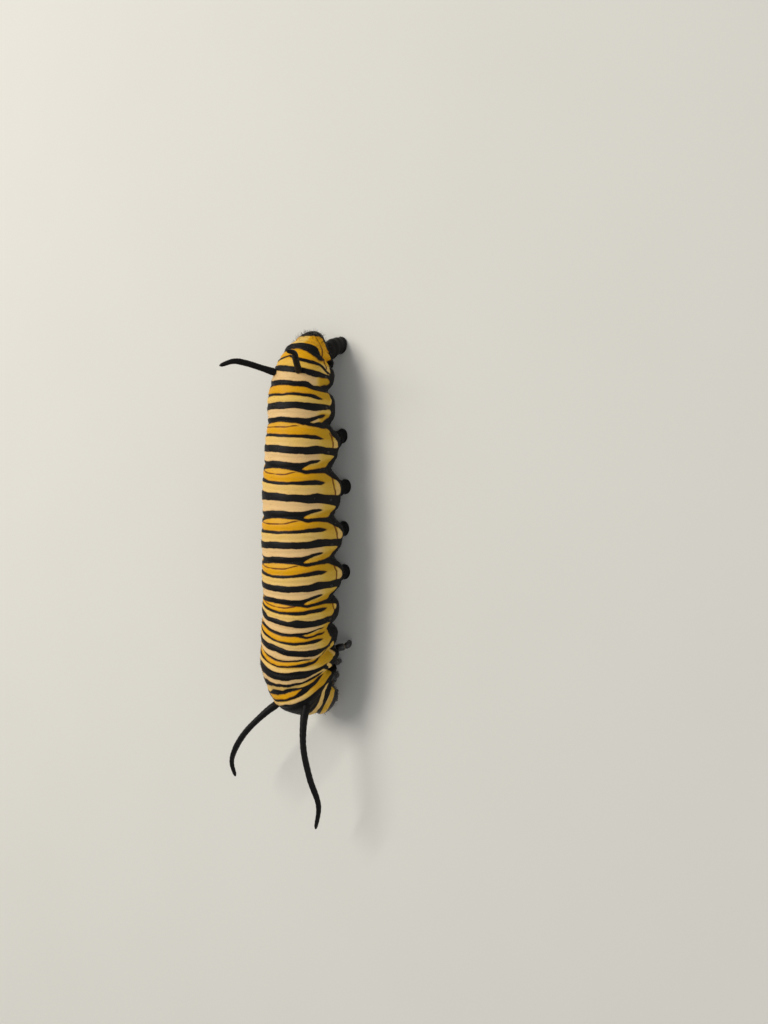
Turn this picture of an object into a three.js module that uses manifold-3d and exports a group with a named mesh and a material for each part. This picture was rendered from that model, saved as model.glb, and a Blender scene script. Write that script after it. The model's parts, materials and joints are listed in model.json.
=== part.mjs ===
// A fifth instar larva of the monarch butterfly, at life size, at rest on its legs with its head tucked
// under. Millimetres, +Z up. The head points to -Y and the larva's own left side is +X.
// The head and its parts, the body's segments, the legs and the fleshy filaments are separate meshes.
// The origin is on the floor, under the middle of the whole larva.

import * as THREE from "three";
import { mergeVertices } from "three/addons/utils/BufferGeometryUtils.js";
import Module from "manifold-3d";

const wasm = await Module();
wasm.setup();

// Driving dimensions

const GAP = 0.3; // clear space between neighbouring meshes
const AROUND = 26; // points round a body segment
const SIDES = { left: 1, right: -1 };

// The folds between the segments, from the neck to the tail. x, y and z are the middle of the body at the
// fold. lean is how far the top of the section leans forwards, in degrees. half, top and belly are the
// section's half width and its heights over and under the middle.
const FOLDS = [
  { behind: "neck", x: 0.3, y: -16.85, z: 2.4, lean: 72, half: 1.65, top: 1.6, belly: 1.2 },
  { behind: "thorax_1", x: -0.15, y: -15.4, z: 3.25, lean: 62, half: 2.95, top: 3.05, belly: 1.15 },
  { behind: "thorax_2", x: -0.3, y: -14.3, z: 3.8, lean: 27, half: 3.32, top: 3.0, belly: 2.15 },
  { behind: "thorax_3", x: -0.3, y: -12.6, z: 3.95, lean: 15, half: 3.4, top: 3.12, belly: 2.5 },
  { behind: "abdomen_1", x: -0.15, y: -10.4, z: 3.95, lean: 11, half: 3.37, top: 3.2, belly: 2.6 },
  { behind: "abdomen_2", x: 0, y: -7.75, z: 3.95, lean: 8, half: 3.35, top: 3.2, belly: 2.65 },
  { behind: "abdomen_3", x: 0, y: -4.25, z: 3.95, lean: 4, half: 3.42, top: 3.27, belly: 2.7 },
  { behind: "abdomen_4", x: 0, y: -0.5, z: 3.95, lean: 0.5, half: 3.38, top: 3.27, belly: 2.7 },
  { behind: "abdomen_5", x: -0.08, y: 3.75, z: 3.95, lean: 0, half: 3.17, top: 3.14, belly: 2.65 },
  { behind: "abdomen_6", x: 0, y: 7.7, z: 3.9, lean: -1, half: 2.92, top: 2.9, belly: 2.55 },
  { behind: "abdomen_7", x: -0.08, y: 10.95, z: 3.8, lean: -5, half: 2.72, top: 2.7, belly: 2.4 },
  { behind: "abdomen_8", x: 0.2, y: 13.45, z: 3.25, lean: -25, half: 2.28, top: 2.15, belly: 2.05 },
  { behind: "abdomen_9", x: 0.3, y: 14.2, z: 2.8, lean: -40, half: 1.85, top: 1.75, belly: 1.65 },
  { behind: "abdomen_10", x: 0.35, y: 15.35, z: 2.2, lean: -62, half: 1.15, top: 1.05, belly: 0.9 },
];

// Relief of one segment. Places run from 0 at its front fold to 1 at its rear fold, and angles from the
// middle of the back.
const RINGS = [0, 0.1, 0.2, 0.33, 0.5, 0.61, 0.72, 0.88, 1];
const SHORT_RINGS = { thorax_2: [0, 0.25, 0.5, 0.75, 1], abdomen_9: [0, 0.5, 1] };
const SWELL = { height: 0.15, power: 0.7 }; // how far a segment's middle stands out over its folds
const CREASE = { places: [0.2, 0.5, 0.72], depth: 0.07, reach: 0.05, fade: 25, end: 100 };
const PINCH = { angle: 118, spread: 34, depth: 0.4, reach: 0.16 }; // the fold drawn in along the side
const LEG_LOBE = { angle: 112, spread: 18, place: 0.64, reach: 0.26, height: 0.38 }; // over a leg
const SIDE_LOBE = { angle: 106, spread: 15, place: 0.28, reach: 0.16, height: 0.14 };
const FLAT = 1.5; // how flat the belly is, from 1 for round
const DOME = { length: 0.35, share: 0.6 }; // the blunt end of the tail
const LOBED = ["thorax_2", "thorax_3", "abdomen_3", "abdomen_4", "abdomen_5", "abdomen_6"];
const UNLOBED_SHARE = 0.25; // how much of the lobes the other segments have

// Abdominal prolegs: a soft cone from the belly to a flat sole. The feet are given out from the body's
// middle and behind the leg's root.
const PROLEG = { rootOut: 1.7, place: 0.54, squash: 0.85, around: 14 };
const PROLEG_RINGS = [
  { z: 2.3, radius: 1.05, shift: 0 },
  { z: 1.5, radius: 0.98, shift: 0.15 },
  { z: 1.0, radius: 0.86, shift: 0.45 },
  { z: 0.62, radius: 0.68, shift: 0.75 },
  { z: 0.34, radius: 0.62, shift: 0.95 },
  { z: 0.12, radius: 0.7, shift: 1 },
  { z: 0, radius: 0.6, shift: 1 },
];
const PROLEG_FEET = {
  3: { out: 2.2, behind: 0.3 },
  4: { out: 2.1, behind: 0.6 },
  5: { out: 2.35, behind: 0.4 },
  6: { out: 1.95, behind: 0.9 },
};

// The hind pair, on the last segment: larger and set backwards. out is from the body's middle.
const ANAL_PROLEG_RINGS = [
  { out: 0.8, y: 13.9, z: 2.6, radius: 0.9 },
  { out: 1.0, y: 14.3, z: 2.0, radius: 0.98 },
  { out: 1.2, y: 14.7, z: 1.35, radius: 0.95 },
  { out: 1.32, y: 15.0, z: 0.8, radius: 0.84 },
  { out: 1.4, y: 15.15, z: 0.4, radius: 0.74 },
  { out: 1.42, y: 15.2, z: 0.13, radius: 0.8 },
  { out: 1.42, y: 15.2, z: 0, radius: 0.7 },
];

// Thoracic legs: root place and angle on the body, the claw's place on the floor and how far the knee bows
// out. A leg swells in a ridge at each joint.
const LEG = { base: 0.46, tip: 0.2, clawHeight: 0.16, rootShare: 0.75, steps: 12, around: 8 };
const LEG_RIDGE = { places: [0.32, 0.6, 0.84], height: 0.07, reach: 0.06 };
const KNEE = { place: 0.55, rise: 0.2 };
const LEGS = {
  1: { place: 0.45, angle: 138, out: 1.3, y: -14.95, knee: 0.45 },
  2: { place: 1.45, angle: 142, out: 2.05, y: -13.8, knee: 0.3 },
  3: { place: 2.66, angle: 138, out: 3.1, y: -11.9, knee: 0.75 },
};

// Filaments: thickness, root place and angle on the body, and the bends of each as steps from its root.
const FILAMENT = { base: 0.42, middle: 0.28, tip: 0.17, flare: 1.4, rootShare: 0.8, steps: 18, around: 8 };
const FRONT_ROOT = { place: 1.22, angle: 31 };
const REAR_ROOT = { place: 10.33, angle: 29 };
const FILAMENTS = {
  front_left: {
    ...FRONT_ROOT,
    side: 1,
    bends: [[0.05, -1, 0.4], [0.2, -3.4, 0.7], [0.6, -6.2, 0.3], [1.05, -8.7, -0.4], [0.3, -11, -1]],
  },
  front_right: {
    ...FRONT_ROOT,
    side: -1,
    bends: [[-0.9, -0.8, 0.5], [-2.9, -2.7, 0.9], [-4.5, -4.6, 0.6], [-5.3, -6, 0.1], [-5.3, -7.3, -0.4]],
  },
  rear_left: {
    ...REAR_ROOT,
    side: 1,
    bends: [[0.57, 0.26, 0.9], [1.3, 0.65, 2.1], [1.95, 1, 3.2], [1.85, 1.05, 4]],
  },
  rear_right: {
    ...REAR_ROOT,
    side: -1,
    bends: [[-0.7, 0.3, 0.8], [-1.6, 0.7, 2.1], [-2.2, 0.8, 3], [-3.1, 0.4, 3.8]],
  },
};

// Head: a capsule with a groove down its crown. Its axes are x to its left, y to its back and z to its
// crown.
const HEAD = { x: 0.45, y: -16.95, z: 1.66, lean: 66, half: 1.72, depth: 1.25, height: 1.74 };
const GROOVE = { depth: 0.2, half: 0.16 };
const CHEEK = { width: 0.06, height: -0.35, reach: 0.5 };
const JAW_TAPER = 0.35;
const EYE = { side: 62, up: -14, patch: 0.52, socket: 0.88, lens: 0.13, sink: 0.03 };
const LENSES = [[-19, 2], [-10, 14], [3, 16], [14, 8], [16, -5], [-6, -10]]; // degrees to the front and up
const ANTENNA = { side: 58, up: -52, root: -0.2, length: 0.5, base: 0.22, tip: 0.13, steps: 5, around: 7 };
const MOUTH = {
  labrum: { at: [0, -0.76, -1.42], size: [0.48, 0.22, 0.32] },
  mandible_left: { at: [0.42, -0.2, -1.8], size: [0.26, 0.26, 0.36] },
  mandible_right: { at: [-0.42, -0.2, -1.8], size: [0.26, 0.26, 0.36] },
  labium: { at: [0, 0.52, -1.6], size: [0.42, 0.26, 0.4] },
};

const TUBE_TIP = { width: 0.5, length: 0.8 }; // of the radius of a tube's end
const FLOOR = { side: 80, depth: 4 };
const ROUND = { shell: 26, gap: 16, patch: 12, lens: 6, mouth: 10 }; // points round the balls of the head

const finish = (color, roughness) => new THREE.MeshStandardMaterial({ color, roughness, metalness: 0 });
const SKIN = finish(0xd9b56a, 0.5);
const BLACK_SKIN = finish(0x17130f, 0.5);
const SHELL = finish(0x1a1512, 0.3);
const LENS_SHELL = finish(0x0d0a08, 0.1);

// Small helpers

const radians = THREE.MathUtils.degToRad;
const clamp = THREE.MathUtils.clamp;
const bell = (x) => Math.exp(-x * x);

// The place along the body that a named segment starts at. The whole body runs from 0 to SEGMENTS.length.
const SEGMENTS = FOLDS.slice(1).map((fold) => fold.behind);
const TAIL = SEGMENTS.length;

// One field of the folds at any place along the body, smoothly interpolated.
function field(key, place) {
  const i = clamp(Math.floor(place), 0, TAIL - 1);
  const f = place - i;
  const value = (k) => FOLDS[clamp(k, 0, TAIL)][key];
  const slope = (k) => (value(k + 1) - value(k - 1)) / (k > 0 && k < TAIL ? 2 : 1);
  const rise = 3 * f ** 2 - 2 * f ** 3;
  return (
    value(i) * (1 - rise) +
    value(i + 1) * rise +
    slope(i) * (f ** 3 - 2 * f ** 2 + f) +
    slope(i + 1) * (f ** 3 - f ** 2)
  );
}

// How far the skin stands out over the plain section, at a place and at degrees round from the back.
function relief(place, angle) {
  const index = clamp(Math.floor(place), 0, TAIL - 1);
  const f = clamp(place - index, 0, 1);
  const side = Math.abs(angle);
  const back = clamp((CREASE.end - side) / CREASE.fade, 0, 1);
  const toFold = Math.min(f, 1 - f);
  const onSide = (form) => bell((side - form.angle) / form.spread);
  let out = SWELL.height * Math.sin(Math.PI * f) ** SWELL.power;
  for (const crease of CREASE.places) out -= CREASE.depth * back * bell((f - crease) / CREASE.reach);
  out -= PINCH.depth * bell(toFold / PINCH.reach) * onSide(PINCH);
  const share = LOBED.includes(SEGMENTS[index]) ? 1 : UNLOBED_SHARE;
  for (const lobe of [LEG_LOBE, SIDE_LOBE]) {
    out += share * lobe.height * bell((f - lobe.place) / lobe.reach) * onSide(lobe);
  }
  return out;
}

// The body's section at a place: its middle, the way to its top and the way to the tail.
function sectionAt(place) {
  const lean = radians(field("lean", place));
  return {
    middle: new THREE.Vector3(field("x", place), field("y", place), field("z", place)),
    up: new THREE.Vector3(0, -Math.sin(lean), Math.cos(lean)),
    tailward: new THREE.Vector3(0, Math.cos(lean), Math.sin(lean)),
  };
}

// A point between the middle of the body, where share is 0, and its skin, where share is 1.
function skinPoint(place, angle, share = 1) {
  const { middle, up } = sectionAt(place);
  const rise = Math.cos(radians(angle));
  const height = rise >= 0 ? field("top", place) * rise : -field("belly", place) * (1 - (1 + rise) ** FLAT);
  const across = field("half", place) * Math.sin(radians(angle));
  const length = Math.hypot(across, height);
  const reach = (share * (length + relief(place, angle))) / length;
  return middle.addScaledVector(up, height * reach).add(new THREE.Vector3(across * reach, 0, 0));
}

// The way straight out of the skin at a point.
const STEP = 0.02;
function skinNormal(place, angle) {
  const before = Math.max(place - STEP, 0);
  const after = Math.min(place + STEP, TAIL);
  const lengthwise = skinPoint(after, angle).sub(skinPoint(before, angle));
  const round = skinPoint(place, angle + 1).sub(skinPoint(place, angle - 1));
  return round.cross(lengthwise).normalize();
}

// A closed solid with its faces turned out.
function solid(geometry) {
  geometry.deleteAttribute("normal");
  geometry.deleteAttribute("uv");
  const merged = mergeVertices(geometry, 1e-4);
  const vertProperties = new Float32Array(merged.attributes.position.array);
  const triVerts = new Uint32Array(merged.index.array);
  const made = new wasm.Manifold(new wasm.Mesh({ numProp: 3, vertProperties, triVerts }));
  if (made.volume() > 0) return made;
  return new wasm.Manifold(new wasm.Mesh({ numProp: 3, vertProperties, triVerts: triVerts.reverse() }));
}

// The geometry of a solid's largest closed body.
function geometryOf(made) {
  const [largest] = made.decompose().sort((a, b) => b.volume() - a.volume());
  const { vertProperties, triVerts } = largest.getMesh();
  const geometry = new THREE.BufferGeometry();
  geometry.setAttribute("position", new THREE.BufferAttribute(new Float32Array(vertProperties), 3));
  geometry.setIndex(new THREE.BufferAttribute(new Uint32Array(triVerts), 1));
  return geometry;
}

// A solid of rings. pointAt(level, angle, share) is a ring's point at an angle in degrees, where share is 1
// on the ring and 0 in its middle.
function loft(levels, around, pointAt) {
  const geometry = new THREE.CylinderGeometry(1, 1, levels, around, levels);
  const points = geometry.attributes.position;
  for (let i = 0; i < points.count; i += 1) {
    const level = Math.round(points.getY(i) + levels / 2);
    const share = Math.round(Math.hypot(points.getX(i), points.getZ(i)));
    const angle = share * THREE.MathUtils.radToDeg(Math.atan2(points.getX(i), points.getZ(i)));
    points.setXYZ(i, ...pointAt(level, angle, share).toArray());
  }
  return solid(geometry);
}

// A tapering tube along a curve through the points, with a rounded tip. radius(share) is its radius at a
// share of its length.
function tube(points, radius, levels, around) {
  const curve = new THREE.CatmullRomCurve3(points, false, "centripetal");
  const { tangents, normals, binormals } = curve.computeFrenetFrames(levels, false);
  return loft(levels + 1, around, (level, angle, share) => {
    const k = Math.min(level, levels);
    const isTip = level > levels;
    const thick = share * radius(k / levels) * (isTip ? TUBE_TIP.width : 1);
    return curve
      .getPointAt(k / levels)
      .addScaledVector(tangents[k], isTip ? radius(1) * TUBE_TIP.length : 0)
      .addScaledVector(normals[k], thick * Math.cos(radians(angle)))
      .addScaledVector(binormals[k], thick * Math.sin(radians(angle)));
  });
}

// A ball about a point, with half sizes in three directions.
function ball([x, y, z], [sizeX, sizeY, sizeZ], around = 8) {
  return new THREE.SphereGeometry(1, around, around - 2).scale(sizeX, sizeY, sizeZ).translate(x, y, z);
}

const larva = new THREE.Group();

// Adds one named mesh to the larva.
function add(name, made, material) {
  const mesh = new THREE.Mesh(geometryOf(made), material);
  mesh.name = name;
  larva.add(mesh);
}

// A body segment, grown by a margin on all sides. Without one it ends half a gap before each fold. The last
// segment closes in a blunt dome.
function segment(index, grow = 0) {
  const rings = SHORT_RINGS[SEGMENTS[index]] ?? RINGS;
  const last = rings.length - 1;
  const isTail = index === TAIL - 1;
  const inset = GAP / 2 - grow;
  return loft(isTail ? last + 1 : last, AROUND, (level, angle, share) => {
    const isDome = level > last;
    const place = index + rings[Math.min(level, last)];
    const point = skinPoint(place, angle, isDome ? share * DOME.share : share);
    if (grow > 0) point.addScaledVector(skinNormal(place, angle), grow * share);
    const { tailward } = sectionAt(place);
    if (level === 0) point.addScaledVector(tailward, inset);
    if (level === last && !isTail) point.addScaledVector(tailward, -inset);
    if (isDome) point.addScaledVector(tailward, DOME.length + grow);
    return point;
  });
}
for (const [index, name] of SEGMENTS.entries()) add(name, segment(index), SKIN);

// The whole body with the gap round it, which everything that grows from it is cut back to.
const grownSegments = SEGMENTS.map((name, index) => segment(index, GAP));
const bodyWithGap = grownSegments.reduce((whole, part) => whole.add(part));

// A soft leg of rings whose middles are given by middleAt(ring).
function softLeg(rings, middleAt) {
  const made = loft(rings.length - 1, PROLEG.around, (level, angle, share) => {
    const thick = share * rings[level].radius;
    const round = new THREE.Vector3(Math.cos(radians(angle)) * PROLEG.squash, Math.sin(radians(angle)), 0);
    return middleAt(rings[level]).addScaledVector(round, thick);
  });
  return made.subtract(bodyWithGap);
}

for (const [number, foot] of Object.entries(PROLEG_FEET)) {
  const { middle } = sectionAt(SEGMENTS.indexOf(`abdomen_${number}`) + PROLEG.place);
  for (const [sideName, side] of Object.entries(SIDES)) {
    const made = softLeg(PROLEG_RINGS, ({ z, shift }) => {
      const out = PROLEG.rootOut + (foot.out - PROLEG.rootOut) * shift;
      return new THREE.Vector3(middle.x + side * out, middle.y + foot.behind * shift, z);
    });
    add(`proleg_${number}_${sideName}`, made, BLACK_SKIN);
  }
}

for (const [sideName, side] of Object.entries(SIDES)) {
  const { x } = FOLDS[TAIL];
  const made = softLeg(ANAL_PROLEG_RINGS, ({ out, y, z }) => new THREE.Vector3(x + side * out, y, z));
  add(`anal_proleg_${sideName}`, made, BLACK_SKIN);
}

// A jointed leg from inside the body to the claw, cut flat where it meets the floor.
function leg({ place, angle, out, y, knee }, side) {
  const root = skinPoint(place, side * angle);
  const claw = new THREE.Vector3(sectionAt(place).middle.x + side * out, y, LEG.clawHeight);
  const bend = root.clone().lerp(claw, KNEE.place).add(new THREE.Vector3(side * knee, 0, KNEE.rise));
  const radius = (s) => {
    const ridgeAt = (joint) => LEG_RIDGE.height * bell((s - joint) / LEG_RIDGE.reach);
    const ridges = LEG_RIDGE.places.reduce((sum, joint) => sum + ridgeAt(joint), 0);
    return LEG.base + (LEG.tip - LEG.base) * s + ridges;
  };
  const slab = new THREE.BoxGeometry(FLOOR.side, FLOOR.side, FLOOR.depth);
  const floor = solid(slab.translate(0, 0, -FLOOR.depth / 2));
  const inside = skinPoint(place, side * angle, LEG.rootShare);
  const limb = tube([inside, root, bend, claw], radius, LEG.steps, LEG.around);
  return limb.subtract(floor).subtract(bodyWithGap);
}
for (const [number, sizes] of Object.entries(LEGS)) {
  for (const [sideName, side] of Object.entries(SIDES)) {
    add(`leg_${number}_${sideName}`, leg(sizes, side), SHELL);
  }
}

// A filament: flared over its first third, even along its middle and narrowing over its last third.
function filament({ place, angle, side, bends }) {
  const root = skinPoint(place, side * angle);
  const inside = skinPoint(place, side * angle, FILAMENT.rootShare);
  const points = [inside, root, ...bends.map((step) => new THREE.Vector3(...step).add(root))];
  const radius = (s) => {
    const narrowing = (FILAMENT.middle - FILAMENT.tip) * Math.max(0, 1 - 3 * (1 - s));
    const flare = (FILAMENT.base - FILAMENT.middle) * Math.max(0, 1 - 3 * s) ** FILAMENT.flare;
    return FILAMENT.middle - narrowing + flare;
  };
  return tube(points, radius, FILAMENT.steps, FILAMENT.around).subtract(bodyWithGap);
}
for (const [name, sizes] of Object.entries(FILAMENTS)) add(`filament_${name}`, filament(sizes), BLACK_SKIN);

// Head

const headFrame = new THREE.Matrix4().makeRotationX(radians(HEAD.lean)).setPosition(HEAD.x, HEAD.y, HEAD.z);

// The direction in the head's own axes that is side degrees round from the face and up degrees over the
// cheeks.
function headDirection(side, up) {
  return new THREE.Vector3(0, -1, 0)
    .applyAxisAngle(new THREE.Vector3(-1, 0, 0), radians(up))
    .applyAxisAngle(new THREE.Vector3(0, 0, 1), radians(side));
}

// A point of the head's shell in a direction from its middle, in the head's own axes, moved out by grow.
function shellPoint({ x, y, z }, grow = 0) {
  const groove = GROOVE.depth * Math.max(0, z) * bell(x / GROOVE.half);
  const cheeks = 1 + CHEEK.width * bell((z - CHEEK.height) / CHEEK.reach);
  const jaw = 1 - JAW_TAPER * Math.max(0, CHEEK.height - z);
  const point = new THREE.Vector3(x * HEAD.half * cheeks * jaw, y * HEAD.depth, z * HEAD.height);
  return point.setLength(point.length() - groove + grow);
}

function headShell(around, grow) {
  const geometry = new THREE.SphereGeometry(1, around, Math.round(around * 0.64));
  const points = geometry.attributes.position;
  for (let i = 0; i < points.count; i += 1) {
    const direction = new THREE.Vector3(points.getX(i), -points.getZ(i), points.getY(i));
    points.setXYZ(i, ...shellPoint(direction, grow).toArray());
  }
  return solid(geometry.applyMatrix4(headFrame));
}
const shell = headShell(ROUND.shell, 0);
const headWithGap = headShell(ROUND.gap, GAP);

// A cluster of six simple eyes on a round patch of the cheek, and the socket that parts it from the head.
function eyePatch(side) {
  const middle = shellPoint(headDirection(side * EYE.side, EYE.up));
  const headBall = (at, radius, around) =>
    solid(ball(at.toArray(), Array(3).fill(radius), around).applyMatrix4(headFrame));
  let patch = shell.intersect(headBall(middle, EYE.patch, ROUND.patch));
  for (const [toFront, up] of LENSES) {
    const lens = shellPoint(headDirection(side * (EYE.side - toFront), EYE.up + up), -EYE.sink);
    patch = patch.add(headBall(lens, EYE.lens, ROUND.lens));
  }
  return { patch, socket: headBall(middle, EYE.socket, ROUND.patch) };
}

let head = shell.subtract(bodyWithGap);
for (const [sideName, side] of Object.entries(SIDES)) {
  const { patch, socket } = eyePatch(side);
  head = head.subtract(socket);
  add(`eye_${sideName}`, patch, LENS_SHELL);

  const direction = headDirection(side * ANTENNA.side, ANTENNA.up);
  const root = shellPoint(direction, ANTENNA.root);
  const tip = shellPoint(direction, ANTENNA.length);
  const along = [root, root.clone().lerp(tip, 0.5), tip].map((point) => point.applyMatrix4(headFrame));
  const radius = (s) => ANTENNA.base + (ANTENNA.tip - ANTENNA.base) * s;
  const feeler = tube(along, radius, ANTENNA.steps, ANTENNA.around);
  add(`antenna_${sideName}`, feeler.subtract(headWithGap), SHELL);
}
add("head", head, SHELL);

for (const [name, { at, size }] of Object.entries(MOUTH)) {
  const made = solid(ball(at, size, ROUND.mouth).applyMatrix4(headFrame));
  add(name, made.subtract(headWithGap), SHELL);
}

// The origin goes to the floor, under the middle of the whole larva.
const bounds = new THREE.Box3().setFromObject(larva);
larva.position.set(-(bounds.min.x + bounds.max.x) / 2, -(bounds.min.y + bounds.max.y) / 2, 0);

export default larva;
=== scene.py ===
"""A fifth instar larva of the monarch butterfly at life size: its banded skin, head, legs and bristles.

Sizes are millimetres in the larva's own frame, which is the solid model's before it was centred, and angles
are degrees. A mesh is turned into metres in the shared frame when it becomes a piece.
"""

import json
import logging
import math
from dataclasses import dataclass, field
from enum import Enum
from functools import cache
from typing import Optional, Protocol, Sequence, Union

import bmesh
import bpy
import numpy as np
from mathutils import Matrix, Vector
from mathutils.bvhtree import BVHTree

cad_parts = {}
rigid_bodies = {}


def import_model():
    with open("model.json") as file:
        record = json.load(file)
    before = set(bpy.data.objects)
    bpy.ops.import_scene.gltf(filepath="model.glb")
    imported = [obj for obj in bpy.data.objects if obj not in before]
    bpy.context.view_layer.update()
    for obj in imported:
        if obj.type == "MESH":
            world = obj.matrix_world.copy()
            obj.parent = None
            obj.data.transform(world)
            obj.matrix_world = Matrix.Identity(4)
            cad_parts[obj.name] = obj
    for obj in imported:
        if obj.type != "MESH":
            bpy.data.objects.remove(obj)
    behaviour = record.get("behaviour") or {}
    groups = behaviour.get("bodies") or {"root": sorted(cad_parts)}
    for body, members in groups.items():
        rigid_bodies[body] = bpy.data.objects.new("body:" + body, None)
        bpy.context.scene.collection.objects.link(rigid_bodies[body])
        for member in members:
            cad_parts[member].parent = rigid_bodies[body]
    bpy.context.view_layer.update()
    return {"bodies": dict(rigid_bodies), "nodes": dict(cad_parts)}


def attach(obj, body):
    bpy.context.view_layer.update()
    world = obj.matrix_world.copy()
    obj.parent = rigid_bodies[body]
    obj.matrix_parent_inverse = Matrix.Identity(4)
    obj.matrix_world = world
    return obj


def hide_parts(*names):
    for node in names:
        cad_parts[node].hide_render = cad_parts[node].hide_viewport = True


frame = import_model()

LOG = logging.getLogger("larva")
MM = 0.001
BODY = next(iter(frame["bodies"]))
SEED = 11

Array = np.ndarray
Level = Union[float, np.ndarray]
Colour = tuple[float, float, float]
Triple = tuple[float, float, float]
Pair = tuple[float, float]
Mesh = bmesh.types.BMesh


class Side(Enum):
    """The two sides of the larva, with the sign of x."""

    LEFT = 1
    RIGHT = -1

    @property
    def word(self) -> str:
        """The side's name as the node names have it."""
        return self.name.lower()


class Slot(Enum):
    """The record's material slots."""

    SKIN = "banded_skin"
    SOFT = "black_skin"
    HEAD = "head_shell"
    LEG = "leg_shell"
    EYE = "eye_lens"


# Small helpers


def bell(x: Array) -> Array:
    """A smooth bump, 1 at 0 and nearly 0 beyond 2."""
    return np.exp(-np.square(x))


def rise(x: Array, start: Level, end: Level) -> Array:
    """A smooth step from 0 at start to 1 at end."""
    t = np.clip((x - start) / (end - start), 0, 1)
    return t * t * (3 - 2 * t)


def wobble(x: Array, seed: float) -> Array:
    """A smooth irregular wave between about -1 and 1.

    Args:
        x: Where on the wave, in turns of its slowest part.
        seed: A number that makes this wave unlike the others.

    Returns:
        The wave's height at each x.
    """
    turn = 2 * math.pi
    slow = np.sin(turn * (x + 0.37 * seed))
    middle = np.sin(turn * (2.3 * x + 0.71 * seed))
    quick = np.sin(turn * (4.9 * x + 0.13 * seed * seed))
    return (slow + 0.6 * middle + 0.4 * quick) / 2


def through(x: Array, spots: Sequence[float], heights: Sequence[float]) -> Array:
    """A smooth line through some heights, level beyond its ends.

    Args:
        x: Where to read the line.
        spots: Where its heights are given, in rising order.
        heights: The heights there.

    Returns:
        The line's height at each x.
    """
    spots, heights = np.array(spots, float), np.array(heights, float)
    slopes = np.gradient(heights, spots)
    x = np.clip(x, spots[0], spots[-1])
    i = np.clip(np.searchsorted(spots, x, side="right") - 1, 0, len(spots) - 2)
    step = spots[i + 1] - spots[i]
    t = (x - spots[i]) / step
    up = t * t * (3 - 2 * t)
    ends = heights[i] * (1 - up) + heights[i + 1] * up
    return ends + step * (slopes[i] * (t**3 - 2 * t**2 + t) + slopes[i + 1] * (t**3 - t**2))


def soft_max(a: Array, b: Array, reach: float) -> Array:
    """The greater of two heights, rounded where they are less than reach apart."""
    return np.maximum(a, b) + np.square(np.clip(reach - np.abs(a - b), 0, None)) / (4 * reach)


def softened(x: Array, spots: Sequence[float], heights: Sequence[float], reach: float) -> Array:
    """A line through some heights with its corners rounded, level beyond its ends.

    Args:
        x: Where to read the line.
        spots: Where its heights are given, in rising order.
        heights: The heights there.
        reach: How far to each side of a corner the rounding goes.

    Returns:
        The line's height at each x.
    """
    step = 0.01
    fine = np.arange(spots[0] - 1, spots[-1] + 1, step)
    spread = np.hanning(2 * round(reach / step) + 1)
    rounded = np.convolve(np.interp(fine, spots, heights), spread / spread.sum(), "same")
    return np.interp(x, fine[len(spread) : -len(spread)], rounded[len(spread) : -len(spread)])


def unit(vectors: Array) -> Array:
    """The rows as unit vectors."""
    return vectors / np.linalg.norm(vectors, axis=-1, keepdims=True)


def linear(red: int, green: int, blue: int) -> Colour:
    """A colour of 0 to 255 as it is seen, as the linear values that a shader takes."""
    shares = [channel / 255 for channel in (red, green, blue)]
    return tuple(s / 12.92 if s <= 0.04045 else ((s + 0.055) / 1.055) ** 2.4 for s in shares)


def runs(line: Array) -> Array:
    """How far along a line of straight pieces each of its points is."""
    return np.concatenate([[0], np.cumsum(np.linalg.norm(np.diff(line, axis=0), axis=1))])


def between(where: Array, keys: Array, rows: Array) -> Array:
    """The points given as rows at some keys, read anywhere between those keys."""
    return np.column_stack([np.interp(where, keys, rows[:, axis]) for axis in range(3)])


def smooth_path(points: Sequence[Sequence[float]], count: int) -> Array:
    """Points evenly spaced along a centripetal Catmull-Rom curve.

    Args:
        points: The points that the curve goes through.
        count: How many points to return.

    Returns:
        The points, one row each.
    """
    given = np.array(points, float)
    ends = np.vstack([2 * given[0] - given[1], given, 2 * given[-1] - given[-2]])
    fine = []
    for i in range(len(given) - 1):
        p = ends[i : i + 4]
        knots = np.concatenate([[0], np.cumsum(np.sqrt(np.linalg.norm(np.diff(p, axis=0), axis=1)))])
        t = np.linspace(knots[1], knots[2], 40, endpoint=False)[:, None]

        def blend(a: Array, b: Array, start: float, end: float) -> Array:
            """The line from a at start to b at end."""
            return a * (end - t) / (end - start) + b * (t - start) / (end - start)

        a = [blend(p[k], p[k + 1], knots[k], knots[k + 1]) for k in range(3)]
        b = [blend(a[k], a[k + 1], knots[k], knots[k + 2]) for k in range(2)]
        fine.append(blend(b[0], b[1], knots[1], knots[2]))
    dense = np.vstack([*fine, given[-1:]])
    lengths = runs(dense)
    return between(np.linspace(0, lengths[-1], count), lengths, dense)


def away_from(points: Array, line: Array) -> Array:
    """How far each point is from a line of straight pieces.

    Args:
        points: The points, one row each.
        line: The line's corners, one row each.

    Returns:
        The distances.
    """
    nearest = np.full(len(points), np.inf)
    for start, end in zip(line[:-1], line[1:]):
        step = end - start
        share = np.clip((points - start) @ step / (step @ step), 0, 1)
        nearest = np.minimum(nearest, np.linalg.norm(points - start - share[:, None] * step, axis=1))
    return nearest


# Shader nodes written as expressions

Number = Union[float, "Value"]


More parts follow.
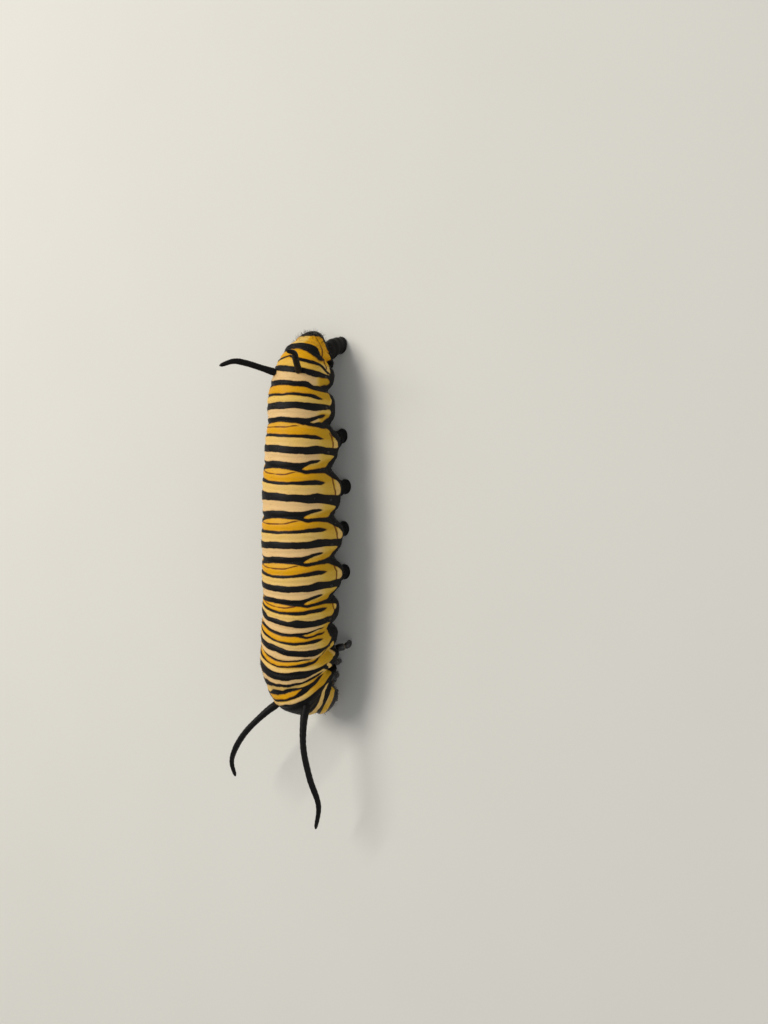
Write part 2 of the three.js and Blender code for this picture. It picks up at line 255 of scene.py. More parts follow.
class Value:
    """A shader socket that can be added, multiplied and compared like a number."""

    def __init__(self, shader: "Shader", socket: bpy.types.NodeSocket) -> None:
        """Wraps one output socket of a material."""
        self.shader = shader
        self.socket = socket

    def math(self, operation: str, *others: Number) -> "Value":
        """A Math node on this value and the others."""
        return self.shader.math(operation, self, *others)

    def __add__(self, other: Number) -> "Value":
        """The sum."""
        return self.math("ADD", other)

    def __radd__(self, other: Number) -> "Value":
        """The sum, with the number first."""
        return self.shader.math("ADD", other, self)

    def __sub__(self, other: Number) -> "Value":
        """The difference."""
        return self.math("SUBTRACT", other)

    def __rsub__(self, other: Number) -> "Value":
        """The difference, with the number first."""
        return self.shader.math("SUBTRACT", other, self)

    def __mul__(self, other: Number) -> "Value":
        """The product."""
        return self.math("MULTIPLY", other)

    def over(self, start: float, end: float) -> "Value":
        """A smooth step of this value.

        Args:
            start: The value where the step is 0.
            end: The value where it is 1.

        Returns:
            The step, from 0 to 1.
        """
        return self.shader.value(
            "ShaderNodeMapRange",
            {"interpolation_type": "SMOOTHSTEP"},
            {"Value": self, "From Min": start, "From Max": end, "To Min": 0.0, "To Max": 1.0},
        )


class Shader:
    """One material and the nodes that it is made of."""

    def __init__(self, name: str) -> None:
        """Starts a material with its shader and output.

        Args:
            name: The material's name.
        """
        self.material = bpy.data.materials.new(name)
        self.material.use_nodes = True
        self.tree = self.material.node_tree
        self.surface = self.tree.nodes["Principled BSDF"]

    def node(
        self, kind: str, settings: Optional[dict] = None, inputs: Optional[dict] = None
    ) -> bpy.types.Node:
        """Adds one node.

        Args:
            kind: The node's type.
            settings: Its own settings, which are made first.
            inputs: What goes into its sockets, by name or number: numbers, tuples or values.

        Returns:
            The node.
        """
        made = self.tree.nodes.new(kind)
        for key, what in (settings or {}).items():
            setattr(made, key, what)
        self.feed(made, inputs or {})
        return made

    def feed(self, node: bpy.types.Node, inputs: dict) -> None:
        """Sets or links a node's inputs.

        Args:
            node: The node.
            inputs: What goes into its sockets, by name or number.
        """
        for key, what in inputs.items():
            socket = node.inputs[key]
            if isinstance(what, Value):
                self.tree.links.new(what.socket, socket)
            elif isinstance(what, tuple) and len(socket.default_value) == 4:
                socket.default_value = (*what, 1.0)
            else:
                socket.default_value = what

    def value(
        self,
        kind: str,
        settings: Optional[dict] = None,
        inputs: Optional[dict] = None,
        output: Union[int, str] = 0,
    ) -> Value:
        """Adds one node and wraps one of its outputs, given by its name or number."""
        return Value(self, self.node(kind, settings, inputs).outputs[output])

    def math(self, operation: str, *terms: Number) -> Value:
        """A Math node, with its inputs in order."""
        return self.value("ShaderNodeMath", {"operation": operation}, dict(enumerate(terms)))

    def attribute(self, name: str) -> Value:
        """A number stored on the mesh under that name."""
        return self.value("ShaderNodeAttribute", {"attribute_name": name}, output="Fac")

    def scaled(self, scale: Triple) -> Value:
        """The point's place in the object's own frame, scaled along each axis."""
        place = self.value("ShaderNodeTexCoord", output="Object")
        return self.value("ShaderNodeMapping", None, {"Vector": place, "Scale": scale})

    def noise(self, size: float, detail: float = 2.0, stretch: Triple = (1.0, 1.0, 1.0)) -> Value:
        """A cloudy pattern.

        Args:
            size: The size of its clouds, in millimetres.
            detail: How many finer layers it has.
            stretch: How much longer than size the clouds are along x, y and z.

        Returns:
            The pattern, from 0 to 1 with most of it near 0.5.
        """
        scale = tuple(1 / (size * MM * s) for s in stretch)
        inputs = {"Vector": self.scaled(scale), "Scale": 1.0, "Detail": detail}
        return self.value("ShaderNodeTexNoise", None, inputs)

    def cells(self, size: float, feature: str = "F1") -> Value:
        """A pattern of rounded cells.

        Args:
            size: The size of its cells, in millimetres.
            feature: Which of the cells' distances to give.

        Returns:
            The distance, 0 in a cell's middle or on its edge.
        """
        scale = (1 / (size * MM),) * 3
        inputs = {"Vector": self.scaled(scale), "Scale": 1.0}
        return self.value("ShaderNodeTexVoronoi", {"feature": feature}, inputs, output="Distance")

    def mix(self, share: Number, first: Union[Colour, Value], second: Union[Colour, Value]) -> Value:
        """A colour between two, where share 0 gives the first."""
        inputs = {0: share, 6: first, 7: second}
        return self.value("ShaderNodeMix", {"data_type": "RGBA"}, inputs, output=2)

    def bump(self, height: Value, depth: float, strength: float = 1.0) -> Value:
        """A surface normal from a height, where 1 stands for depth millimetres."""
        inputs = {"Height": height, "Distance": depth * MM, "Strength": strength}
        return self.value("ShaderNodeBump", None, inputs, output="Normal")

    def finish(self, **inputs: object) -> bpy.types.Material:
        """Feeds the shader's sockets, by their names with _ for a space."""
        self.feed(self.surface, {key.replace("_", " "): what for key, what in inputs.items()})
        return self.material


# Meshes


def ball(around: int, rings: int) -> Mesh:
    """A ball of rings whose places are read from its points by longitude and latitude.

    Args:
        around: How many points go round it.
        rings: How many rings of faces it has.

    Returns:
        The ball, of radius 1.
    """
    made = bmesh.new()
    bmesh.ops.create_uvsphere(made, u_segments=around, v_segments=rings, radius=1)
    return made


def points_of(made: Mesh) -> Array:
    """The mesh's points, one row each."""
    return np.array([vertex.co[:] for vertex in made.verts])


def turns_and_shares(made: Mesh) -> tuple[Array, Array]:
    """Where each point of a ball is.

    Args:
        made: The ball, before its points are moved.

    Returns:
        The angle round its axis in degrees, and the share of the way from its top to its bottom.
    """
    points = points_of(made)
    turn = np.degrees(np.arctan2(points[:, 1], points[:, 0]))
    share = np.arccos(np.clip(points[:, 2], -1, 1)) / math.pi
    return turn, share


def move(made: Mesh, points: Array) -> Mesh:
    """Puts a mesh's points where the rows of points say, and turns its faces out.

    Args:
        made: The mesh.
        points: The points' places, in the order of the mesh.

    Returns:
        The mesh.
    """
    for vertex, point in zip(made.verts, points):
        vertex.co = point
    bmesh.ops.recalc_face_normals(made, faces=made.faces)
    return made


def sweep(path: Array, radii: Array, around: int, rings: int) -> tuple[Mesh, Array]:
    """A closed round limb along a path.

    Args:
        path: The points of its middle line.
        radii: Its radius at each of those points.
        around: How many points go round it.
        rings: How many rings it has.

    Returns:
        The limb, and the share of the path that each of its points is at.
    """
    made = ball(around, rings)
    turn, share = turns_and_shares(made)
    lengths = runs(path)
    total = lengths[-1]
    along = share * (total + radii[0] + radii[-1]) - radii[0]
    held = np.clip(along, 0, total)
    tangents = unit(np.gradient(path, axis=0))
    sideways = np.zeros_like(tangents)
    upright = 0.9
    sideways[0] = np.cross(tangents[0], (0, 0, 1) if abs(tangents[0][2]) < upright else (1, 0, 0))
    for i in range(len(path)):
        before = sideways[max(i - 1, 0)]
        sideways[i] = unit(before - tangents[i] * np.dot(before, tangents[i]))
    middle, line, across = (between(held, lengths, rows) for rows in (path, tangents, sideways))
    up = np.cross(line, across)
    radius = np.interp(held, lengths, radii)
    over = along - held
    radius *= np.sqrt(np.clip(1 - np.square(over / radius), 0, 1))
    a = np.radians(turn)[:, None]
    out = across * np.cos(a) + up * np.sin(a)
    return move(made, middle + line * over[:, None] + out * radius[:, None]), held / total


def linked(name: str, data: bpy.types.ID) -> bpy.types.Object:
    """An object in the scene.

    Args:
        name: Its name.
        data: Its mesh, camera or light.

    Returns:
        The object.
    """
    made = bpy.data.objects.new(name, data)
    bpy.context.scene.collection.objects.link(made)
    return made


def passing(name: str, mesh: Mesh) -> bpy.types.Object:
    """An object made only for its modifiers.

    Args:
        name: Its name.
        mesh: Its mesh, which is copied.

    Returns:
        The object.
    """
    data = bpy.data.meshes.new(name)
    mesh.to_mesh(data)
    return linked(name, data)


def result(thing: bpy.types.Object, others: Sequence[bpy.types.Object] = ()) -> Mesh:
    """The mesh that an object's modifiers make.

    Args:
        thing: The object, which is removed.
        others: Objects that its modifiers needed, which are removed too.

    Returns:
        The mesh.
    """
    made = bmesh.new()
    made.from_object(thing, bpy.context.evaluated_depsgraph_get())
    for used in (thing, *others):
        bpy.data.objects.remove(used)
    return made


def together(parts: Sequence[Mesh]) -> Mesh:
    """The parts as one mesh, with their points in the same order.

    Args:
        parts: The parts, which are used up.

    Returns:
        The mesh.
    """
    made = bmesh.new()
    for part in parts:
        data = bpy.data.meshes.new("part")
        part.to_mesh(data)
        part.free()
        made.from_mesh(data)
        bpy.data.meshes.remove(data)
    return made


class Finish(Protocol):
    """What a piece is finished with."""

    def material(self) -> bpy.types.Material:
        """Makes the finish's material."""


@cache
def material_of(finish: Finish) -> bpy.types.Material:
    """The one material of all pieces with the same finish."""
    return finish.material()


def unstriped(soft: Array) -> dict[str, Array]:
    """The values of a shell that is soft in places and has no stripes."""
    return {"soft": soft, "stripe": np.full(len(soft), -1.0)}


@dataclass
class Piece:
    """A finished mesh of the larva and how it joins the model."""

    name: str
    mesh: Mesh
    finish: Finish
    slot: Slot
    nodes: Sequence[str] = ()
    values: dict[str, Array] = field(default_factory=dict)

    def place(self, offset: Vector) -> bpy.types.Object:
        """Makes the object in the shared frame.

        Args:
            offset: The own frame's origin in the shared frame, in metres.

        Returns:
            The object, at the origin with its place in its mesh.
        """
        data = bpy.data.meshes.new(self.name)
        bmesh.ops.scale(self.mesh, vec=(MM, MM, MM), verts=self.mesh.verts)
        bmesh.ops.translate(self.mesh, vec=offset, verts=self.mesh.verts)
        self.mesh.to_mesh(data)
        self.mesh.free()
        for name, numbers in self.values.items():
            stored = data.attributes.new(name, "FLOAT", "POINT")
            stored.data.foreach_set("value", np.asarray(numbers, np.float32))
        data.shade_smooth()
        data.materials.append(material_of(self.finish))
        made = linked(self.name, data)
        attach(made, BODY)
        if self.nodes:
            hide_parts(*self.nodes)
        triangles = sum(len(polygon.vertices) - 2 for polygon in data.polygons)
        LOG.info("%s: %d triangles", self.name, triangles)
        return made


# The body


@dataclass(frozen=True)
class Fold:
    """The fold behind a segment: the body's middle there and the size and lean of its section."""

    x: float
    y: float
    z: float
    lean: float
    half: float
    top: float
    belly: float


@dataclass(frozen=True)
class Lobe:
    """A soft swelling of each segment's side."""

    angle: float
    spread: float
    place: float
    reach: float
    height: float


@dataclass(frozen=True)
class Sway:
    """How the folds and stripes of the back run near one place: how far they lean and how far they sag."""

    place: float
    lean: float
    sag: float


@dataclass(frozen=True)
class Ripples:
    """Fine waves across the skin: their height and length in millimetres, and how they bend."""

    height: float
    length: float
    seed: float
    bend: float
    bend_angle: float
    bend_seed: float

    def heights(self, run: Array, angle: Array) -> Array:
        """The heights of points that lie run millimetres behind their segment's front."""
        bend = self.bend * wobble(angle / self.bend_angle, self.bend_seed)
        return self.height * wobble(run / self.length + bend, self.seed)


@dataclass(frozen=True)
class Furrow:
    """A crease along the flank of each segment, deepest at one place of it.

    It lies at an angle from the back, rises by tilt degrees along the segment and wavers by some degrees.
    """

    angle: float
    tilt: float
    waver: float
    place: float
    reach: float
    depth: float
    half: float = 2.6
    middle: float = 0.45

    def depths(self, share: Array, side: Array, wave: Array) -> Array:
        """The depth at points that lie a share of the segment behind its front, in millimetres."""
        across = side - self.angle + self.tilt * (share - self.middle) - self.waver * wave
        return self.depth * bell(across / self.half) * bell((share - self.place) / self.reach)


@dataclass(frozen=True)
class Body:
    """The body's shape.

    Places run from 0 at the neck to 1 for each segment, and angles from the back to the side.
    """

    segments: tuple[str, ...] = (
        "thorax_1", "thorax_2", "thorax_3", *(f"abdomen_{number}" for number in range(1, 11)),
    )
    folds: tuple[Fold, ...] = (
        Fold(0.3, -16.85, 2.4, 72, 1.65, 1.6, 1.2),
        Fold(-0.15, -15.4, 3.25, 62, 2.95, 3.05, 1.15),
        Fold(-0.3, -14.3, 3.8, 27, 3.32, 3.0, 2.15),
        Fold(-0.3, -12.6, 3.95, 15, 3.4, 3.12, 2.5),
        Fold(-0.15, -10.4, 3.95, 11, 3.37, 3.2, 2.6),
        Fold(0, -7.75, 3.95, 8, 3.35, 3.2, 2.65),
        Fold(0, -4.25, 3.95, 4, 3.42, 3.27, 2.7),
        Fold(0, -0.5, 3.95, 0.5, 3.38, 3.27, 2.7),
        Fold(-0.08, 3.75, 3.95, 0, 3.17, 3.14, 2.65),
        Fold(0, 7.7, 3.9, -1, 2.92, 2.9, 2.55),
        Fold(-0.08, 10.95, 3.8, -5, 2.72, 2.7, 2.4),
        Fold(0.2, 13.45, 3.25, -25, 2.28, 2.15, 2.05),
        Fold(0.3, 14.2, 2.8, -40, 1.85, 1.75, 1.65),
        Fold(0.35, 15.35, 2.2, -62, 1.15, 1.05, 0.9),
    )
    swell: float = 0.15
    swell_power: float = 0.7
    creases: tuple[float, ...] = (0.2, 0.5, 0.72)
    crease_depth: float = 0.07
    crease_reach: float = 0.05
    crease_end: float = 100
    crease_fade: float = 25
    pinch: Lobe = Lobe(118, 34, 0, 0.16, 0.4)
    leg_lobe: Lobe = Lobe(112, 18, 0.64, 0.26, 0.38)
    side_lobe: Lobe = Lobe(106, 15, 0.28, 0.16, 0.14)
    lobed: tuple[str, ...] = ("thorax_2", "thorax_3", "abdomen_3", "abdomen_4", "abdomen_5", "abdomen_6")
    plain_share: float = 0.25
    flat: float = 1.5
    sways: tuple[Sway, ...] = (
        Sway(1.66, 0.26, 0.16), Sway(2.0, 0.25, 0.12), Sway(2.15, -0.05, 0.13), Sway(2.42, -0.22, 0.24),
        Sway(3.0, -0.28, 0.15), Sway(3.36, -0.36, 0.2), Sway(4.03, -0.28, 0.35), Sway(4.39, -0.24, 0.15),
        Sway(5.09, -0.07, 0.2), Sway(5.41, -0.05, 0.04), Sway(6.07, -0.01, 0.2), Sway(6.4, -0.01, 0.02),
        Sway(7.07, 0, 0.11), Sway(7.36, -0.08, 0.01), Sway(8.06, -0.06, 0.2), Sway(8.38, -0.07, 0.04),
        Sway(9.03, -0.03, -0.13), Sway(9.42, -0.01, 0), Sway(9.98, -0.03, -0.12), Sway(10.3, -0.11, 0.16),
        Sway(11.2, 0, 0),
    )
    sway_angle: float = 36
    sway_end: float = 100
    sway_reach: float = 0.12
    back_edge: Pair = (62, 90)
    fold_depth: float = 0.06
    fold_reach: float = 0.14
    fold_wave: float = 0.05
    plain_ends: float = 1.5
    wrinkle_places: tuple[float, ...] = (0.13, 0.3, 0.45, 0.63, 0.7, 0.85)
    wrinkle_depth: float = 0.03
    wrinkle_reach: float = 0.06
    wrinkle_wave: float = 0.06
    wrinkle_fade: float = 0.75
    wrinkle_end: float = 95
    ripples: Ripples = Ripples(0.008, 0.42, 12, 0.5, 80, 7)
    flank_spread: float = 20
    furrow: Furrow = Furrow(98, 10, 2, 0.62, 0.3, 0.09)
    high_furrow: Furrow = Furrow(80, 0, 4, 0.3, 0.2, 0.05)
    dimple_depth: float = 0.018
    dimple_length: float = 1.1
    dimple_angle: float = 16
    dimple_edge: Pair = (55, 80)
    belly_ripples: Ripples = Ripples(0.02, 0.9, 1, 0.4, 40, 2)
    belly_edge: Pair = (125, 150)
    tail_crease: tuple[Pair, ...] = (
        (10.61, 87), (10.77, 79), (11.27, 69), (12.02, 60), (12.21, 49), (12.4, 34),
    )
    tail_crease_depth: float = 0.06
    tail_crease_reach: float = 0.07
    tail_crease_middle: float = 11.5
    tail_crease_half: float = 0.9
    tail_degree: float = 0.035
    neck_cap: float = 0.3
    tail_cap: float = 0.55
    run_angle: float = 45
    around: int = 140
    rings: int = 500

    @property
    def tail(self) -> int:
        """The place of the tail's end."""
        return len(self.segments)

    def index(self, name: str) -> int:
        """The place where a segment starts."""
        return self.segments.index(name)

    def segment_and_share(self, place: Array) -> tuple[Array, Array]:
        """The segment that each place is in, and the share of it that lies before the place."""
        i = np.clip(np.floor(place).astype(int), 0, self.tail - 1)
        return i, np.clip(place - i, 0, 1)

    def field(self, name: str, place: Array) -> Array:
        """One size of the folds at any places, smoothly interpolated."""
        return through(place, range(self.tail + 1), [getattr(fold, name) for fold in self.folds])

    def straight(self, place: Array, angle: Array) -> Array:
        """Where points would be if the folds and stripes ran straight round the body.

        Args:
            place: The places along the body.
            angle: The angles from the back, positive to the left.

        Returns:
            The place of each point's stripe where it crosses the upper left flank.
        """
        search, step, halvings = 2.0, 0.02, 28
        fine = np.arange(-search, self.tail + search, step)
        keys = [sway.place for sway in self.sways]
        leans = softened(fine, keys, [sway.lean for sway in self.sways], self.sway_reach)
        sags = softened(fine, keys, [sway.sag for sway in self.sways], self.sway_reach)
        at, end = math.radians(self.sway_angle), math.radians(self.sway_end)
        a = np.radians(angle)
        lean_share = np.sin(a) - math.sin(at)
        sag_share = math.cos(at) - np.maximum(np.cos(a), math.cos(end))
        low, high = place - search, place + search
        for _ in range(halvings):
            middle = (low + high) / 2
            leaned = np.interp(middle, fine, leans) * lean_share
            sagged = np.interp(middle, fine, sags) * sag_share
            moved = middle + leaned + sagged
            low, high = np.where(moved > place, low, middle), np.where(moved > place, middle, high)
        return (low + high) / 2

    def relief(self, place: Array, angle: Array) -> Array:
        """How far the skin stands out over the plain section, as on the solid model.

        Args:
            place: The places along the body.
            angle: The angles from the back.

        Returns:
            The height at each, in millimetres.
        """
        i, f = self.segment_and_share(place)
        side = np.abs(angle)
        drawn = bell(np.minimum(f, 1 - f) / self.pinch.reach)
        drawn *= bell((side - self.pinch.angle) / self.pinch.spread)
        out = self.rings_relief(place, angle) - self.pinch.height * drawn
        is_lobed = np.array([name in self.lobed for name in self.segments])[i]
        for lobe in (self.leg_lobe, self.side_lobe):
            swell = lobe.height * bell((f - lobe.place) / lobe.reach)
            swell *= bell((side - lobe.angle) / lobe.spread)
            out += np.where(is_lobed, 1, self.plain_share) * swell
        return out

    def rings_relief(self, place: Array, angle: Array) -> Array:
        """The part of the relief that runs round the body: each segment's swell and its creases.

        Args:
            place: The places along the body.
            angle: The angles from the back.

        Returns:
            The height at each, in millimetres.
        """
        _, f = self.segment_and_share(place)
        back = np.clip((self.crease_end - np.abs(angle)) / self.crease_fade, 0, 1)
        out = self.swell * np.sin(np.pi * f).clip(0) ** self.swell_power
        for crease in self.creases:
            out -= self.crease_depth * back * bell((f - crease) / self.crease_reach)
        return out

    def fine_relief(self, place: Array, angle: Array) -> Array:
        """The folds, wrinkles and dimples that are finer than the solid model's.

        Args:
            place: The places along the body.
            angle: The angles from the back, with the sign of the side.

        Returns:
            The height at each, in millimetres.
        """
        straight = np.clip(self.straight(place, angle), 0, self.tail)
        i, f = self.segment_and_share(straight)
        length = self.lengths()[i]
        run = f * length
        side = np.abs(angle)
        on_back = 1 - rise(side, *self.back_edge)
        out = on_back * (self.rings_relief(straight, angle) - self.rings_relief(place, angle))
        wave = self.fold_wave * wobble(angle / 75, 3) / length
        to_fold = np.minimum(np.abs(f + wave), np.abs(1 - f - wave)) * length
        is_folded = (straight >= self.plain_ends) & (straight <= self.tail - self.plain_ends)
        out -= self.fold_depth * is_folded * bell(to_fold / self.fold_reach)
        for number, spot in enumerate(self.wrinkle_places):
            shift = self.wrinkle_wave * wobble(angle / 60, 5 + number) / length
            fade = 1 - self.wrinkle_fade * rise(side, 60 + 5 * (number % 3), self.wrinkle_end)
            out -= self.wrinkle_depth * fade * bell((f - spot - shift) * length / self.wrinkle_reach)
        out += self.ripples.heights(run, angle) * (0.4 + 0.6 * wobble(angle / 28 + straight, 3) ** 2)
        flank = bell((side - self.furrow.angle) / self.flank_spread)
        out -= flank * self.furrow.depths(f, side, wobble(straight, 2))
        out -= flank * self.high_furrow.depths(f, side, wobble(f * 0.8, 6))
        dimples = wobble(angle / self.dimple_angle + 3 * f, 4) * wobble(run / self.dimple_length, 8)
        out += self.dimple_depth * rise(side, *self.dimple_edge) * dimples
        crease = bell(self.from_tail_crease(place, side) / self.tail_crease_reach)
        out -= self.tail_crease_depth * crease
        out += rise(side, *self.belly_edge) * self.belly_ripples.heights(run, angle)
        return out

    def from_tail_crease(self, place: Array, side: Array) -> Array:
        """How far points are from the crease on each side of the tail.

        Args:
            place: The places along the body.
            side: The angles from the back.

        Returns:
            The distances, in millimetres.
        """
        places, angles = zip(*self.tail_crease)
        rounding = 0.1
        beyond = np.clip(np.abs(place - self.tail_crease_middle) - self.tail_crease_half, 0, None)
        return np.abs(side - softened(place, places, angles, rounding)) * self.tail_degree + beyond

    def lengths(self) -> Array:
        """The length of each segment along the upper flank.

        Returns:
            The lengths, in millimetres.
        """
        fine = 40
        place = np.linspace(0, self.tail, self.tail * fine + 1)
        line = self.plain_points(place, np.full_like(place, self.run_angle))
        return np.diff(runs(line)[::fine])

    def axes(self, place: Array) -> tuple[Array, Array, Array]:
        """The body's section at each place.

        Args:
            place: The places along the body.

        Returns:
            Its middle, the way to its top and the way to the tail.
        """
        middle = np.column_stack([self.field(name, place) for name in "xyz"])
        lean = np.radians(self.field("lean", place))
        zero = np.zeros_like(lean)
        up = np.column_stack([zero, -np.sin(lean), np.cos(lean)])
        tailward = np.column_stack([zero, np.cos(lean), np.sin(lean)])
        return middle, up, tailward

    def plain_points(self, place: Array, angle: Array, share: Level = 1, more: Level = 0) -> Array:
        """Points between the middle of the body and its skin.

        Args:
            place: The places along the body.
            angle: The angles from the back, positive to the left.
            share: 0 in the middle and 1 on the skin.
            more: Height to add over the solid model's skin, in millimetres.

        Returns:
            One point a row.
        """
        middle, up, _ = self.axes(place)
        a = np.radians(angle)
        high = np.cos(a)
        low = -self.field("belly", place) * (1 - (1 + high).clip(0) ** self.flat)
        height = np.where(high >= 0, self.field("top", place) * high, low)
        across = self.field("half", place) * np.sin(a)
        length = np.hypot(across, height)
        reach = share * (length + self.relief(place, angle) + more) / length
        points = middle + up * (height * reach)[:, None]
        points[:, 0] += across * reach
        return points

    def point(self, place: float, angle: float, share: float = 1) -> Array:
        """One point of the body, as plain_points gives them."""
        return self.plain_points(np.array([place], float), np.array([angle], float), share)[0]

    def normals(self, place: Array, angle: Array) -> Array:
        """The way straight out of the skin at some points.

        Args:
            place: The places along the body.
            angle: The angles from the back.

        Returns:
            One unit vector a row.
        """
        step = 0.02
        lengthwise = self.plain_points(place + step, angle) - self.plain_points(place - step, angle)
        crosswise = self.plain_points(place, angle + 1) - self.plain_points(place, angle - 1)
        return unit(np.cross(crosswise, lengthwise))

    def build(self) -> tuple[Mesh, Array, Array]:
        """The trunk alone, closed at the neck and the tail.

        Returns:
            The mesh, and the place and angle of each of its points.
        """
        made = ball(self.around, self.rings)
        turn, share = turns_and_shares(made)
        fine = np.linspace(0, self.tail, 100 * self.tail + 1)
        line = self.plain_points(fine, np.full_like(fine, self.run_angle))
        run = runs(line)
        along = share * (run[-1] + self.neck_cap + self.tail_cap) - self.neck_cap
        place = np.interp(along, run, fine)
        before = np.clip(-along / self.neck_cap, 0, 1)
        behind = np.clip((along - run[-1]) / self.tail_cap, 0, 1)
        closing = np.sqrt(np.clip(1 - np.square(before + behind), 0, 1))
        points = self.plain_points(place, turn, closing, self.fine_relief(place, turn))
        tailward = self.axes(place)[2]
        points += tailward * (behind * self.tail_cap - before * self.neck_cap)[:, None]
        return move(made, points), place, turn


# The markings


@dataclass(frozen=True)
class Stroke:
    """A stroke round the body: angles from the back, each with its front and rear edge in segments."""

    knots: tuple[Triple, ...]
    corner: float = 0.1

    def inside(self, share: Array, side: Array, length: float, degree: float) -> Array:
        """How far inside the stroke points are.

        Args:
            share: How far behind the segment's front the points are, in segments.
            side: Their angles from the back.
            length: The segment's length, in millimetres.
            degree: The length of a degree round the body, in millimetres.

        Returns:
            The distance to the stroke's edge in millimetres, negative outside it.
        """
        angles, fronts, rears = zip(*self.knots)
        front, rear = through(side, angles, fronts), through(side, angles, rears)
        outside = np.maximum(front - share, share - rear) * length
        outside = soft_max(outside, (side - angles[-1]) * degree, self.corner)
        if angles[0] > 0:
            outside = soft_max(outside, (angles[0] - side) * degree, self.corner)
        return -outside


@dataclass(frozen=True)
class Marks:
    """The markings of one segment.

    inks are its black strokes, pales cut light ones out of them, faints dim ones, and line is where its thin
    brown one is. gold gives places in the segment, each with how yellow the ground is there on the back and
    on the side, 0 for cream, and belly gives places with the angle where the dark belly starts.
    """

    inks: tuple[Stroke, ...]
    gold: tuple[Triple, ...]
    pales: tuple[Stroke, ...] = ()
    faints: tuple[Stroke, ...] = ()
    line: float = 0.0
    belly: tuple[Pair, ...] = ((0, 98), (0.5, 101), (1, 97))


# The stripes of a plain segment, and of the segments that differ

PLAIN = Marks(
    inks=(
        Stroke((
            (0, -0.01, 0.13), (10, -0.015, 0.13), (20, -0.035, 0.115), (30, -0.06, 0.1), (38, -0.06, 0.092),
            (46, 0, 0.1), (55, 0.04, 0.125), (62, 0.05, 0.125), (68, 0.055, 0.112), (73, 0.08, 0.08),
        )),
        Stroke((
            (0, -0.01, 0.1), (20, -0.035, 0.08), (30, -0.065, 0.02), (38, -0.105, -0.04),
            (45, -0.14, -0.065), (55, -0.14, -0.07), (65, -0.15, -0.075), (75, -0.17, -0.08),
            (85, -0.2, -0.08), (92, -0.25, -0.06), (100, -0.3, -0.02), (120, -0.34, 0.05),
        )),
        Stroke((
            (0, 0.3, 0.45), (20, 0.29, 0.435), (35, 0.285, 0.44), (50, 0.27, 0.45), (62, 0.27, 0.48),
            (72, 0.265, 0.47), (82, 0.24, 0.455), (92, 0.19, 0.45), (100, 0.14, 0.44), (120, 0.1, 0.4),
        )),
        Stroke((
            (0, 0.625, 0.69), (20, 0.63, 0.69), (35, 0.635, 0.705), (50, 0.635, 0.72), (62, 0.63, 0.72),
            (72, 0.635, 0.7), (79, 0.665, 0.665),
        )),
    ),
    gold=(
        (-0.02, 0.7, 0.9), (0.1, 0, 0.5), (0.33, 0, 0.5), (0.42, 0.25, 0.5), (0.64, 0.32, 0.6),
        (0.7, 1, 0.8), (0.82, 1, 0.8), (0.88, 0.72, 0.85), (0.97, 0.72, 0.9),
    ),
    line=0.85,
    belly=(
        (0, 96), (0.1, 100), (0.2, 101), (0.33, 97), (0.41, 103), (0.46, 109), (0.53, 109), (0.6, 106),
        (0.68, 102), (0.76, 98), (0.85, 94), (1, 94),
    ),
)
